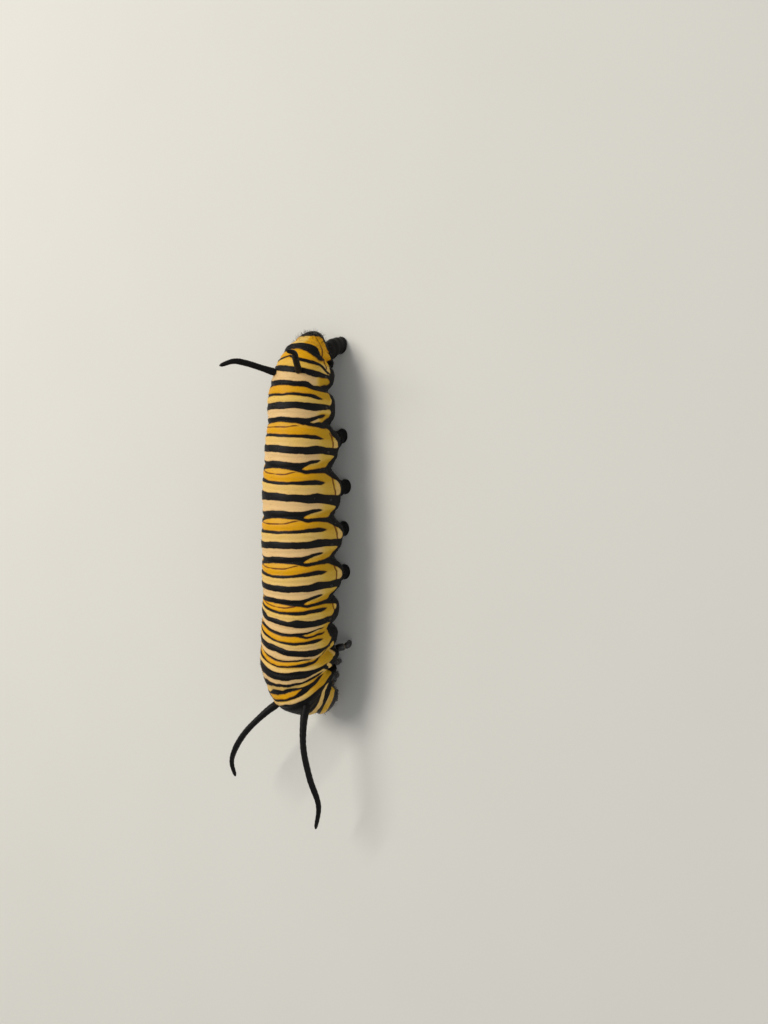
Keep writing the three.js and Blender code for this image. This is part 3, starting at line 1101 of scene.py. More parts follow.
SPECIAL: dict[str, Marks] = {
    "thorax_1": Marks(
        inks=(Stroke(((0, -2, 1), (60, -2, 1), (90, -2, 1.05), (180, -2, 1.1))),),
        pales=(
            Stroke((
                (0, 0.33, 0.6), (20, 0.35, 0.72), (31, 0.38, 0.8), (43, 0.5, 0.86), (50, 0.57, 0.92),
                (57, 0.64, 1.0), (62, 0.73, 1.12), (66, 0.84, 1.2), (70, 0.96, 1.25), (76, 1.1, 1.28),
                (83, 1.2, 1.2),
            )),
        ),
        faints=(
            Stroke((
                (0, 0.84, 0.9), (31, 1.02, 1.09), (40, 1.07, 1.14), (46, 1.08, 1.15), (52, 1.14, 1.2),
                (58, 1.22, 1.28), (63, 1.28, 1.28),
            )),
        ),
        gold=((0, 0.2, 0.3), (1, 0.2, 0.3)),
        belly=((0, 125), (1, 105)),
    ),
    "thorax_2": Marks(
        inks=(
            Stroke((
                (0, -0.2, 0.64), (10, -0.2, 0.61), (23, -0.2, 0.57), (32, -0.2, 0.53), (40, -0.2, 0.51),
                (55, -0.2, 0.5), (63, -0.2, 0.48), (73, -0.2, 0.44), (81, -0.2, 0.46), (86, -0.2, 0.5),
                (92, -0.2, 0.52),
            )),
            Stroke((
                (0, 0.725, 0.8), (12, 0.715, 0.8), (23, 0.69, 0.8), (30, 0.69, 0.84), (36, 0.69, 0.89),
                (42, 0.7, 0.93), (49, 0.735, 0.92), (56, 0.75, 0.93), (63, 0.8, 0.955), (70, 0.86, 0.98),
                (77, 0.94, 0.94),
            )),
            Stroke((
                (0, 0.945, 1.03), (18, 0.94, 1.03), (26, 0.94, 1.0), (33, 0.925, 0.97), (40, 0.9, 0.945),
                (46, 0.9, 0.9),
            )),
        ),
        gold=((0.45, 0.15, 0.8), (0.68, 0.2, 0.9), (0.76, 1, 0.95), (0.92, 1, 0.95)),
        belly=((0, 92), (0.44, 88), (0.5, 93), (0.58, 98), (0.68, 97), (0.8, 90), (1, 88)),
    ),
    "thorax_3": Marks(
        inks=(
            Stroke((
                (0, 0.1, 0.17), (19, 0.09, 0.16), (28, 0.08, 0.17), (40, 0.05, 0.14), (47, 0.055, 0.18),
                (55, 0.06, 0.22), (64, 0.085, 0.25), (70, 0.13, 0.26), (77, 0.23, 0.24),
            )),
            Stroke((
                (0, 0.29, 0.56), (21, 0.29, 0.6), (28, 0.31, 0.62), (34, 0.3, 0.63), (40, 0.28, 0.62),
                (47, 0.3, 0.6), (55, 0.33, 0.57), (64, 0.35, 0.545), (70, 0.36, 0.54), (76, 0.36, 0.54),
                (82, 0.22, 0.54), (90, 0.15, 0.5), (100, 0.1, 0.5),
            )),
            Stroke((
                (0, 0.74, 0.8), (20, 0.78, 0.84), (30, 0.79, 0.87), (42, 0.79, 0.92), (52, 0.81, 0.93),
                (62, 0.85, 0.95), (71, 1.0, 1.06), (80, 1.14, 1.18), (90, 1.31, 1.33),
            )),
        ),
        pales=(
            Stroke((
                (83, 0.44, 0.5), (86, 0.28, 0.5), (89, 0.12, 0.44), (92, 0, 0.34), (95, -0.1, 0.18),
                (98, -0.12, -0.02),
            )),
        ),
        gold=(
            (-0.04, 0.35, 0.8), (0.07, 0.3, 0.7), (0.16, 0.05, 0.3), (0.3, 0.05, 0.3), (0.6, 0.2, 0.7),
            (0.74, 0.35, 0.8), (0.82, 0.9, 0.8), (0.92, 0.9, 0.8),
        ),
        belly=((0, 89), (0.2, 86), (0.45, 88), (0.54, 93), (0.6, 99), (0.7, 106), (0.9, 107), (1, 105)),
    ),
    "abdomen_1": Marks(
        inks=(
            Stroke((
                (0, -0.06, 0), (10, -0.05, 0.01), (20, -0.02, 0.03), (30, 0, 0.07), (38, 0.02, 0.095),
                (46, 0.03, 0.1), (52, 0.02, 0.07), (58, 0.035, 0.035),
            )),
            Stroke((
                (0, 0.28, 0.5), (8, 0.25, 0.5), (15, 0.22, 0.455), (30, 0.22, 0.45), (50, 0.165, 0.43),
                (62, 0.14, 0.41), (70, 0.15, 0.38), (78, 0.21, 0.37), (86, 0.29, 0.4), (92, 0.36, 0.48),
                (97, 0.43, 0.58), (105, 0.45, 0.7),
            )),
            Stroke((
                (0, 0.665, 0.725), (30, 0.65, 0.74), (50, 0.65, 0.745), (62, 0.63, 0.735), (70, 0.64, 0.7),
                (76, 0.665, 0.665),
            )),
        ),
        gold=(
            (-0.03, 0.8, 0.85), (0.05, 0, 0.7), (0.2, 0, 0.6), (0.5, 0.2, 0.6), (0.64, 0.3, 0.75),
            (0.74, 1, 0.8), (0.92, 1, 0.85),
        ),
        belly=((0, 105), (0.2, 103), (0.4, 98), (0.5, 92), (0.63, 91), (0.77, 88), (0.9, 88), (1, 89)),
    ),
    "abdomen_2": Marks(
        inks=(
            Stroke((
                (0, -0.05, 0.05), (20, -0.05, 0.05), (32, -0.05, 0.06), (42, -0.02, 0.06), (52, -0.01, 0.06),
                (60, 0.01, 0.08), (66, 0.025, 0.085), (73, 0, 0.05), (79, 0.02, 0.02),
            )),
            Stroke((
                (0, -0.05, 0), (30, -0.05, 0), (40, -0.1, -0.03), (46, -0.14, -0.078), (52, -0.157, -0.1),
                (65, -0.145, -0.085), (74, -0.165, -0.12), (80, -0.14, -0.14),
            )),
            Stroke((
                (0, 0.3, 0.47), (10, 0.29, 0.45), (20, 0.27, 0.44), (30, 0.25, 0.5), (50, 0.23, 0.46),
                (62, 0.2, 0.45), (72, 0.18, 0.45), (82, 0.16, 0.44), (92, 0.08, 0.42), (102, 0.05, 0.5),
            )),
            Stroke((
                (0, 0.66, 0.735), (30, 0.66, 0.76), (50, 0.67, 0.78), (62, 0.67, 0.77), (72, 0.66, 0.75),
                (81, 0.7, 0.7),
            )),
        ),
        gold=(
            (-0.06, 0.9, 0.85), (0.03, 0, 0.7), (0.3, 0, 0.6), (0.5, 0.3, 0.6), (0.64, 0.35, 0.75),
            (0.74, 1, 0.85), (0.9, 1, 0.85), (0.96, 0.8, 0.85),
        ),
        line=0.88,
        belly=(
            (0, 90), (0.1, 90), (0.26, 92), (0.42, 95), (0.5, 98), (0.6, 101), (0.7, 104), (0.8, 99),
            (0.9, 93), (1, 92),
        ),
    ),
    "abdomen_7": Marks(
        inks=(
            Stroke((
                (0, -0.02, 0.1), (30, -0.04, 0.09), (45, -0.05, 0.1), (52, 0.02, 0.12), (60, 0.08, 0.17),
                (70, 0.15, 0.22), (80, 0.2, 0.26), (86, 0.25, 0.25),
            )),
            Stroke((
                (0, -0.02, 0.08), (30, -0.04, 0.06), (45, -0.05, 0.05), (52, -0.06, 0.03), (60, -0.06, 0.03),
                (70, -0.05, 0.08), (80, -0.05, 0.1), (90, 0, 0.19), (100, 0.02, 0.24), (114, 0, 0.3),
            )),
            Stroke((
                (0, 0.3, 0.5), (20, 0.32, 0.5), (40, 0.32, 0.5), (60, 0.3, 0.5), (80, 0.35, 0.5),
                (90, 0.37, 0.5), (104, 0.38, 0.5),
            )),
            Stroke((
                (0, 0.65, 0.7), (30, 0.67, 0.74), (50, 0.66, 0.75), (60, 0.64, 0.76), (70, 0.62, 0.72),
                (81, 0.65, 0.65),
            )),
        ),
        gold=(
            (-0.03, 0.8, 0.9), (0.08, 0, 0.9), (0.25, 0, 0.85), (0.31, 0, 0.35), (0.5, 0.35, 0.5),
            (0.64, 0.4, 0.6), (0.72, 1, 0.85), (0.9, 1, 0.9),
        ),
        belly=((0, 93), (0.3, 98), (0.5, 101), (0.7, 102), (0.85, 99), (1, 97)),
    ),
    "abdomen_8": Marks(
        inks=(
            Stroke((
                (0, -0.08, 0.055), (30, -0.08, 0.055), (50, -0.08, 0.08), (60, -0.1, 0.03), (80, -0.1, 0.05),
                (90, -0.07, 0.1), (100, 0, 0.12), (112, 0, 0.14),
            )),
            Stroke((
                (0, 0.26, 0.42), (20, 0.27, 0.41), (40, 0.26, 0.4), (60, 0.22, 0.37), (80, 0.22, 0.33),
                (90, 0.24, 0.32), (102, 0.2, 0.32),
            )),
            Stroke((
                (0, 0.69, 0.75), (20, 0.6, 0.69), (30, 0.57, 0.665), (50, 0.55, 0.65), (60, 0.545, 0.635),
                (70, 0.52, 0.6), (80, 0.45, 0.55), (90, 0.35, 0.45), (98, 0.36, 0.38),
            )),
        ),
        gold=(
            (-0.05, 1, 0.9), (0.03, 0, 0.8), (0.23, 0, 0.95), (0.32, 0.5, 0.3), (0.6, 0.6, 0.3),
            (0.7, 1, 0.75), (0.95, 1, 0.9),
        ),
        belly=((0, 98), (0.15, 104), (0.3, 100), (0.6, 96), (1, 97)),
    ),
    "abdomen_9": Marks(
        inks=(
            Stroke((
                (0, 0, 0.33), (10, 0.03, 0.42), (20, 0, 0.43), (30, -0.05, 0.43), (40, -0.1, 0.42),
                (50, -0.17, 0.38), (60, -0.22, 0.2), (68, -0.25, 0.02), (76, -0.2, -0.06),
                (82, -0.13, -0.13),
            )),
        ),
        gold=((0, 0.9, 1), (0.3, 0.35, 1), (1, 0.35, 1)),
        belly=((0, 98), (1, 98)),
    ),
    "abdomen_10": Marks(
        inks=(
            Stroke((
                (0, 0.25, 2), (30, 0.4, 2), (45, 0.55, 2), (64, 0.56, 2), (72, 0.4, 2), (80, 0.28, 2),
                (100, 0.24, 2),
            )),
        ),
        gold=((0, 0.35, 1), (0.5, 0.35, 1), (1, 0.35, 1)),
        belly=((0, 98), (0.4, 100), (1, 100)),
    ),
}


@dataclass(frozen=True)
class Markings:
    """The black stripes, the cream and yellow ground and the dark belly, as distances on the skin, with the
    thin lines, the painted crease shade and the painted flank shade.
    """

    body: Body
    plain: Marks = PLAIN
    special: dict[str, Marks] = field(default_factory=lambda: SPECIAL)
    far: float = 9
    edge_wave: float = 0.03
    corner: float = 0.1
    belly_corner: float = 0.3
    belly_rounding: float = 0.05
    belly_wave: float = 1.5
    degree: float = 0.058
    line_bow: float = 0.05
    line_bow_angles: Pair = (20, 60)
    line_waver: float = 0.02
    line_fade: float = 0.004
    line_end: float = 56
    # The line in each flank's furrow and the one along each tail crease are painted crease shade: how the one
    # in the furrow tilts, wavers and where it lies, and how wide both are.
    flank_tilt: float = 11
    flank_waver: float = 1.2
    flank_place: float = 0.64
    flank_half: float = 0.2
    flank_crease_shade_width: float = 0.035
    tail_crease_shade_width: float = 0.02
    turn_places: tuple[float, ...] = (1.9, 2.4, 3.0, 11.1, 11.3)
    turn_starts: tuple[float, ...] = (25, 45, 60, 60, 12)
    turn_spans: tuple[float, ...] = (42, 30, 22, 22, 18)
    lobe_angles: Pair = (97, 100)
    lobe_end: float = 10
    lobe_gold: float = 0.25
    # The painted flank shade: the angles over which it comes in, and the places near the tail over which it
    # fades, and by how much.
    flank_shade_angles: Pair = (35, 95)
    flank_shade_places: Pair = (10.4, 11.3)
    flank_shade_fade: float = 0.8

    def marks(self, name: str) -> Marks:
        """The markings of a segment."""
        return self.special.get(name, self.plain)

    def strokes(self, straight: Array, angle: Array) -> tuple[Array, Array, Array]:
        """The black, the pale and the dim strokes of all segments.

        Args:
            straight: The points' stripes, as the body's straight gives them.
            angle: Their angles from the back, positive to the left.

        Returns:
            How far inside each kind the points are in millimetres, negative outside it.
        """
        side, lengths = np.abs(angle), self.body.lengths()
        ink, pale, faint = (np.full_like(straight, -self.far) for _ in range(3))
        for number, name in enumerate(self.body.segments):
            marks, length = self.marks(name), lengths[number]
            share = straight - number
            for count, stroke in enumerate(marks.inks):
                seed = 7 * number + 3 * count
                wave = wobble(angle / 90, seed) + 0.5 * wobble(angle / 30, seed + 1)
                inside = stroke.inside(share + self.edge_wave * wave / length, side, length, self.degree)
                inside += 0.4 * self.edge_wave * wobble(angle / 40, seed + 2)
                ink = soft_max(ink, inside, self.corner)
            for stroke in marks.pales:
                pale = np.maximum(pale, stroke.inside(share, side, length, self.degree))
            for stroke in marks.faints:
                faint = np.maximum(faint, stroke.inside(share, side, length, self.degree))
        return ink, pale, faint

    def lines_and_crease_shade(self, straight: Array, angle: Array) -> Array:
        """The thin brown lines: one round each plain segment, and one in each flank's furrow, which is
        painted crease shade.

        Args:
            straight: The points' stripes, as the body's straight gives them.
            angle: Their angles from the back, positive to the left.

        Returns:
            How far the points are from the nearest one, in millimetres.
        """
        side, lengths = np.abs(angle), self.body.lengths()
        on_left = np.where(angle > 0, 2.0, 1.0) * side
        bow = self.line_bow * rise(on_left, *self.line_bow_angles)
        fade = self.line_fade * np.clip(on_left - self.line_end, 0, None)
        furrow = self.body.furrow
        line = np.full_like(straight, self.far)
        for number, name in enumerate(self.body.segments):
            marks, share = self.marks(name), straight - number
            if marks.line > 0:
                away = np.abs(share - marks.line - bow) * lengths[number]
                line = np.minimum(line, away + self.line_waver * wobble(angle / 40, number + 5) + fade)
                # The line along the flank lies in its furrow: painted crease shade.
                tilt = self.flank_tilt * (share - furrow.middle)
                waver = self.flank_waver * wobble(share * 2, number)
                slant = np.abs(side - furrow.angle + tilt - waver) * self.degree
                beyond = np.clip(np.abs(share - self.flank_place) - self.flank_half, 0, None)
                line = np.minimum(line, slant + beyond * lengths[number] * 0.5 - self.flank_crease_shade_width)
        return line

    def ground(self, straight: Array, side: Array) -> tuple[Array, Array]:
        """The ground between the black strokes.

        Args:
            straight: The points' stripes, as the body's straight gives them.
            side: Their angles from the back.

        Returns:
            How yellow it is, from 0 for cream to 1, and how far over the belly's edge the points are.
        """
        golds: list[Triple] = []
        edges: list[Pair] = []
        for number, name in enumerate(self.body.segments):
            marks = self.marks(name)
            golds.extend((number + spot, back, flank) for spot, back, flank in marks.gold)
            edges.extend((number + spot * 0.999, edge) for spot, edge in marks.belly)
        spots, backs, flanks = zip(*sorted(golds))
        back, flank = np.interp(straight, spots, backs), np.interp(straight, spots, flanks)
        starts = np.interp(straight, self.turn_places, self.turn_starts)
        spans = np.interp(straight, self.turn_places, self.turn_spans)
        gold = back + (flank - back) * rise(side, starts, starts + spans)
        edge = softened(straight, *zip(*sorted(edges)), self.belly_rounding)
        edge += self.belly_wave * wobble(straight * 1.7, 9)
        return gold, (side - edge) * self.degree

    def draw(self, place: Array, angle: Array) -> dict[str, Array]:
        """The markings at points of the skin.

        Args:
            place: The places along the body.
            angle: The angles from the back, positive to the left.

        Returns:
            ink, the millimetres inside the black and negative outside it, gold, from 0 for cream to 1 for
            yellow, line, the millimetres from the thin brown lines and the painted crease shade, flank, the
            share of painted shade and painted green reflection, from 0 on the back to 1 low on the flank, and
            streak, 1 on the dim streaks in the black.
        """
        side = np.abs(angle)
        straight = self.body.straight(place, angle)
        ink, pale, faint = self.strokes(straight, angle)
        gold, belly = self.ground(straight, side)
        line = self.lines_and_crease_shade(straight, angle)
        # A dark line along the crease on each side of the tail: painted crease shade.
        line = np.minimum(line, self.body.from_tail_crease(place, side) - self.tail_crease_shade_width)
        low_lobes = rise(side, *self.lobe_angles) * (straight < self.lobe_end)
        on_lobe = np.maximum(low_lobes, rise(pale, -0.03, 0.03))
        return {
            "ink": np.minimum(soft_max(ink, belly, self.belly_corner), -pale),
            "gold": gold * (1 - on_lobe) + self.lobe_gold * on_lobe,
            "line": line,
            # flank carries painted shade and painted green reflection, low on each side and fading near the
            # tail.
            "flank": rise(side, *self.flank_shade_angles) * (1 - self.flank_shade_fade * rise(straight, *self.flank_shade_places)),
            "streak": rise(faint, -0.05, 0.08),
        }


# Limbs of soft skin


@dataclass(frozen=True)
class SoftLegs:
    """The prolegs: soft cones from the belly to flat soles, in rings from the top down."""

    body: Body
    root_out: float = 1.7
    place: float = 0.54
    squash: float = 0.85
    rings: tuple[Triple, ...] = (
        (2.3, 1.05, 0), (1.5, 0.98, 0.15), (1.0, 0.86, 0.45), (0.62, 0.68, 0.75), (0.34, 0.62, 0.95),
        (0.12, 0.7, 1), (0, 0.6, 1),
    )
    feet: dict[int, Pair] = field(
        default_factory=lambda: {3: (2.2, 0.3), 4: (2.1, 0.6), 5: (2.35, 0.4), 6: (1.95, 0.9)}
    )
    anal_rings: tuple[tuple[float, float, float, float], ...] = (
        (0.8, 13.9, 2.6, 0.9), (1.0, 14.3, 2.0, 0.98), (1.2, 14.7, 1.35, 0.95), (1.32, 15.0, 0.8, 0.84),
        (1.4, 15.15, 0.4, 0.74), (1.42, 15.2, 0.13, 0.8), (1.42, 15.2, 0, 0.7),
    )
    wrinkle: float = 0.022
    wrinkles: float = 9
    cap: float = 0.12
    around: int = 40
    levels: int = 46
    hook_count: int = 17
    hook_arc: Pair = (95, 265)
    hook_out: float = 0.06
    hook_length: float = 0.16
    hook_radii: Pair = (0.022, 0.006)
    hook_bends: tuple[Pair, ...] = ((0, 0.16), (0.5, 0.11), (0.35, 0.035))

    def middle(self, number: int) -> Array:
        """The body's middle over the legs of an abdominal segment."""
        return self.body.axes(np.array([self.body.index(f"abdomen_{number}") + self.place]))[0][0]

    def sole(self, number: int, side: Side) -> Array:
        """The middle of a leg's sole."""
        (out, behind), (x, y, _) = self.feet[number], self.middle(number)
        return np.array([x + side.value * out, y + behind, 0.0])

    def soles(self) -> dict[tuple[int, Side], tuple[Array, float]]:
        """The middle and the radius of every sole.

        Returns:
            Both by the leg's number and side, with the number 10 for the anal legs.
        """
        found = {}
        for side in Side:
            for number in self.feet:
                found[number, side] = self.sole(number, side), self.rings[-1][1]
            out, y, _, radius = self.anal_rings[-1]
            found[10, side] = np.array([self.body.folds[-1].x + side.value * out, y, 0.0]), radius
        return found

    def soft_leg(self, rows: Array) -> Mesh:
        """A leg of rings.

        Args:
            rows: For each ring its middle's x, y and z, and its radius, from the top down.

        Returns:
            The closed leg.
        """
        made = ball(self.around, self.levels)
        turn, share = turns_and_shares(made)
        steps = 80
        path = smooth_path(rows[:, :3], steps)
        given = runs(rows[:, :3])
        run = np.linspace(0, given[-1], steps)
        t = np.clip((share - self.cap) / (1 - 2 * self.cap), 0, 1)
        where = t * run[-1]
        points = between(where, run, path)
        closing = np.clip(np.minimum(share, 1 - share) / self.cap, 0, 1)
        a = np.radians(turn)
        folds = self.wrinkle * np.sin(where * self.wrinkles + 0.8 * np.sin(2 * a)) * np.sin(np.pi * t)
        thick = (np.interp(where, given, rows[:, 3]) + folds) * closing
        points[:, 0] += thick * self.squash * np.cos(a)
        points[:, 1] += thick * np.sin(a)
        points[:, 2] = points[:, 2].clip(0)
        return move(made, points)

    def build(self) -> dict[str, Mesh]:
        """All ten legs.

        Returns:
            Their meshes, by the names of their nodes.
        """
        made = {}
        for side in Side:
            for number, (out, behind) in self.feet.items():
                x, y, _ = self.middle(number)
                spread = out - self.root_out
                rows = [
                    (x + side.value * (self.root_out + spread * shift), y + behind * shift, z, radius)
                    for z, radius, shift in self.rings
                ]
                made[f"proleg_{number}_{side.word}"] = self.soft_leg(np.array(rows))
            x = self.body.folds[-1].x
            rows = [(x + side.value * out, y, z, radius) for out, y, z, radius in self.anal_rings]
            made[f"anal_proleg_{side.word}"] = self.soft_leg(np.array(rows))
        return made

    def crochets(self) -> Piece:
        """The rows of small brown hooks along the inner edge of every sole.

        Returns:
            All of them as one piece.
        """
        hooks, steps = [], 7
        for (_, side), (middle, radius) in self.soles().items():
            for angle in np.radians(np.linspace(*self.hook_arc, self.hook_count)):
                out = np.array([side.value * math.cos(angle) * self.squash, math.sin(angle), 0])
                foot = middle + out * (radius + self.hook_out)
                bends = [foot + out * self.hook_length * far + (0, 0, up) for far, up in self.hook_bends]
                radii = np.linspace(*self.hook_radii, steps)
                hooks.append(sweep(smooth_path(bends, steps), radii, 6, 8)[0])
        return Piece("crochets", together(hooks), HornFinish(), Slot.SOFT)


@dataclass(frozen=True)
class Filaments:
    """The four fleshy filaments: where each is rooted and its bends as steps from its root."""

    body: Body
    base: float = 0.42
    middle: float = 0.28
    tip: float = 0.17
    flare: float = 1.4
    end_place: float = 0.95
    end_narrowing: float = 0.75
    root_share: float = 0.8
    front: Pair = (1.22, 31)
    rear: Pair = (10.33, 29)
    bends: dict[str, tuple[Triple, ...]] = field(default_factory=lambda: {
        "front_left": (
            (0.05, -1, 0.4), (0.2, -3.4, 0.7), (0.6, -6.2, 0.3), (1.05, -8.7, -0.4), (0.3, -11, -1),
        ),
        "front_right": (
            (-0.9, -0.8, 0.5), (-2.9, -2.7, 0.9), (-4.5, -4.6, 0.6), (-5.3, -6, 0.1), (-5.3, -7.3, -0.4),
        ),
        "rear_left": ((0.57, 0.26, 0.9), (1.3, 0.65, 2.1), (1.95, 1, 3.2), (1.85, 1.05, 4)),
        "rear_right": ((-0.7, 0.3, 0.8), (-1.6, 0.7, 2.1), (-2.2, 0.8, 3), (-3.1, 0.4, 3.8)),
    })
    flare_share: float = 3
    ripples: float = 150
    ripple: float = 0.008
    waves: float = 9
    wave: float = 0.006
    steps: int = 120
    around: int = 18

    def build(self) -> dict[str, Mesh]:
        """The four filaments.

        Returns:
            Their meshes, by the names of their nodes.
        """
        made = {}
        for name, bends in self.bends.items():
            place, angle = self.front if name.startswith("front") else self.rear
            side = Side.LEFT if name.endswith("left") else Side.RIGHT
            root = self.body.point(place, side.value * angle)
            inside = self.body.point(place, side.value * angle, self.root_share)
            path = smooth_path([inside, root, *(root + np.array(step) for step in bends)], self.steps)
            s = np.linspace(0, 1, self.steps)
            narrowing = (self.middle - self.tip) * np.clip(1 - self.flare_share * (1 - s), 0, None)
            flare = (self.base - self.middle) * np.clip(1 - self.flare_share * s, 0, None) ** self.flare
            ripple = self.ripple * np.sin(s * self.ripples) + self.wave * wobble(s * self.waves, len(made))
            end = np.clip((s - self.end_place) / (1 - self.end_place), 0, 1)
            radii = (self.middle - narrowing + flare + ripple) * np.sqrt(1 - self.end_narrowing * end**2)
            made[f"filament_{name}"] = sweep(path, radii, self.around, self.steps)[0]
        return made


# The finishes


@dataclass(frozen=True)
class BandedSkin:
    """Soft waxy skin: black stripes on cream and yellow, thin brown lines with painted crease shade, painted
    shade and painted green reflection low on the flank, and fine wrinkles.
    """

    cream: Colour = linear(234, 194, 133)
    straw: Colour = linear(236, 193, 88)
    yellow: Colour = linear(228, 163, 0)
    tan: Colour = linear(196, 150, 92)
    # Painted shade and painted green reflection of the low flanks.
    painted_shade_olive: Colour = linear(150, 132, 26)
    brown: Colour = linear(98, 46, 8)
    black: Colour = linear(10, 8, 7)
    grey: Colour = linear(22, 19, 17)
    edge: float = 0.02
    rim: Pair = (-0.09, -0.01)
    streak: float = 0.06

    def material(self) -> bpy.types.Material:
        """The skin's material, from the values stored on its mesh.

        Returns:
            The material.
        """
        s = Shader("banded_skin")
        ink, gold = s.attribute("ink"), s.attribute("gold")
        line, flank = s.attribute("line"), s.attribute("flank")
        rough_edge = (s.noise(0.16, 3) - 0.5) * 0.06
        cloud = s.noise(0.9, 3)
        grain = s.noise(0.07, 2)
        streaks = s.noise(0.16, 3, (6.0, 1.0, 6.0))
        hue = gold + (cloud - 0.5) * 0.16 + (streaks - 0.5) * 0.14
        pale = s.mix(hue.over(0.0, 0.5), self.cream, self.straw)
        pale = s.mix(hue.over(0.38, 0.85), pale, self.yellow)
        pale = s.mix(streaks.over(0.5, 0.8) * 0.28, pale, self.tan)
        # Painted shade and painted green reflection: the ground turns olive low on each flank, most on the
        # yellow.
        pale = s.mix(flank * (0.14 + gold.over(0.1, 0.9) * 0.4), pale, self.painted_shade_olive)
        pale = s.mix(grain.over(0.4, 0.8) * 0.12, pale, self.brown)
        # The thin brown lines, with the painted crease shade in the flank furrows and along the tail creases.
        pale = s.mix((1 - (line + rough_edge * 0.5).over(0.03, 0.1)) * 0.92, pale, self.brown)
        rim = (ink + rough_edge).over(*self.rim)
        pale = s.mix(rim * (0.25 + gold.over(0.2, 0.9) * 0.4), pale, self.brown)
        dark = s.mix(cloud.over(0.4, 0.75) * 0.6, self.black, self.grey)
        is_black = (ink + rough_edge).over(-self.edge, self.edge) * (1 - s.attribute("streak") * self.streak)
        wrinkles = s.noise(0.09, 3, (5.0, 1.0, 5.0))
        pores = s.noise(0.045, 2)
        return s.finish(
            Base_Color=s.mix(is_black, pale, dark),
            Roughness=0.5 + is_black * 0.06 + (grain - 0.5) * 0.12,
            Normal=s.bump(wrinkles * 0.7 + pores * 0.3, 0.032, 0.9),
            Subsurface_Weight=0.05,
            Subsurface_Radius=(0.5 * MM, 0.3 * MM, 0.12 * MM),
            Subsurface_Scale=1.0,
            Specular_IOR_Level=0.17,
        )


@dataclass(frozen=True)
class ShellFinish:
    """Hard glossy black shell with a fine leathery grain, and pale stripes and a painted highlight under each
    eye where the mesh has them.
    """

    name: str
    black: Colour = linear(15, 12, 13)
    brown: Colour = linear(48, 32, 22)
    pale: Colour = linear(226, 172, 22)
    membrane: Colour = linear(72, 60, 40)
    cell: float = 0.09
    edge: float = 0.02

    def material(self) -> bpy.types.Material:
        """The shell's material, from the stripes, the painted highlights and the soft joints stored on its
        mesh.

        Returns:
            The material.
        """
        s = Shader(self.name)
        stripe, soft = s.attribute("stripe"), s.attribute("soft")
        cloud = s.noise(0.5, 3)
        grain = s.noise(0.05, 2)
        cells = s.cells(self.cell, "DISTANCE_TO_EDGE").over(0.0, 0.12)
        dark = s.mix(cloud.over(0.45, 0.8) * 0.7, self.black, self.brown)
        rough_edge = (s.noise(0.12, 3) - 0.5) * 0.08
        # Pale on the stripes and on the painted highlights under the eyes.
        is_pale = (stripe + rough_edge).over(-self.edge, self.edge)
        ground = s.mix(grain.over(0.45, 0.85) * 0.2, self.pale, self.brown)
        colour = s.mix(is_pale, dark, ground)
        colour = s.mix((soft + (grain - 0.5) * 0.3).over(0.35, 0.65), colour, self.membrane)
        return s.finish(
            Base_Color=colour,
            Roughness=0.27 + cloud * 0.12 + soft * 0.25,
            Normal=s.bump(cells * 0.4 + grain * 0.6, 0.004, 0.7),
            Coat_Weight=0.25,
            Coat_Roughness=0.18,
            Specular_IOR_Level=0.5,
        )


@dataclass(frozen=True)
class LensFinish:
    """Clear polished lenses over dark brown."""

    black: Colour = linear(12, 9, 8)
    brown: Colour = linear(62, 34, 16)

    def material(self) -> bpy.types.Material:
        """The lenses' material.

        Returns:
            The material.
        """
        s = Shader("eye_lens")
        cloud = s.noise(0.16, 2)
        return s.finish(
            Base_Color=s.mix(cloud.over(0.4, 0.75) * 0.6, self.black, self.brown),
            Roughness=0.06 + cloud * 0.05,
            Normal=s.bump(s.noise(0.2, 1), 0.004, 0.4),
            Coat_Weight=0.8,
            Coat_Roughness=0.04,
        )


@dataclass(frozen=True)
class HornFinish:
    """Dark brown horn of the hooks and breathing holes."""

    dark: Colour = linear(20, 14, 11)
    light: Colour = linear(74, 46, 26)

    def material(self) -> bpy.types.Material:
        """The horn's material.

        Returns:
            The material.
        """
        s = Shader("horn")
        streaks = s.noise(0.1, 3)
        return s.finish(
            Base_Color=s.mix(streaks.over(0.4, 0.8), self.dark, self.light),
            Roughness=0.3 + streaks * 0.15,
            Normal=s.bump(s.noise(0.04, 2), 0.005, 0.6),
            Specular_IOR_Level=0.5,
        )


@dataclass(frozen=True)
class BristleFinish:
    """Fine stiff hairs, black on the pale skin and grey on the black."""

    black: Colour = linear(18, 15, 14)
    grey: Colour = linear(150, 142, 128)

    def material(self) -> bpy.types.Material:
        """The bristles' material, from how pale each is.

        Returns:
            The material.
        """
        s = Shader("bristle")
        pale = s.attribute("pale") + (s.noise(0.3, 2) - 0.5) * 0.4
        return s.finish(
            Base_Color=s.mix(pale.over(0.1, 0.9), self.black, self.grey),
            Roughness=0.4,
            Normal=s.bump(s.noise(0.03, 1), 0.002, 0.4),
            Specular_IOR_Level=0.4,
        )


# The skin


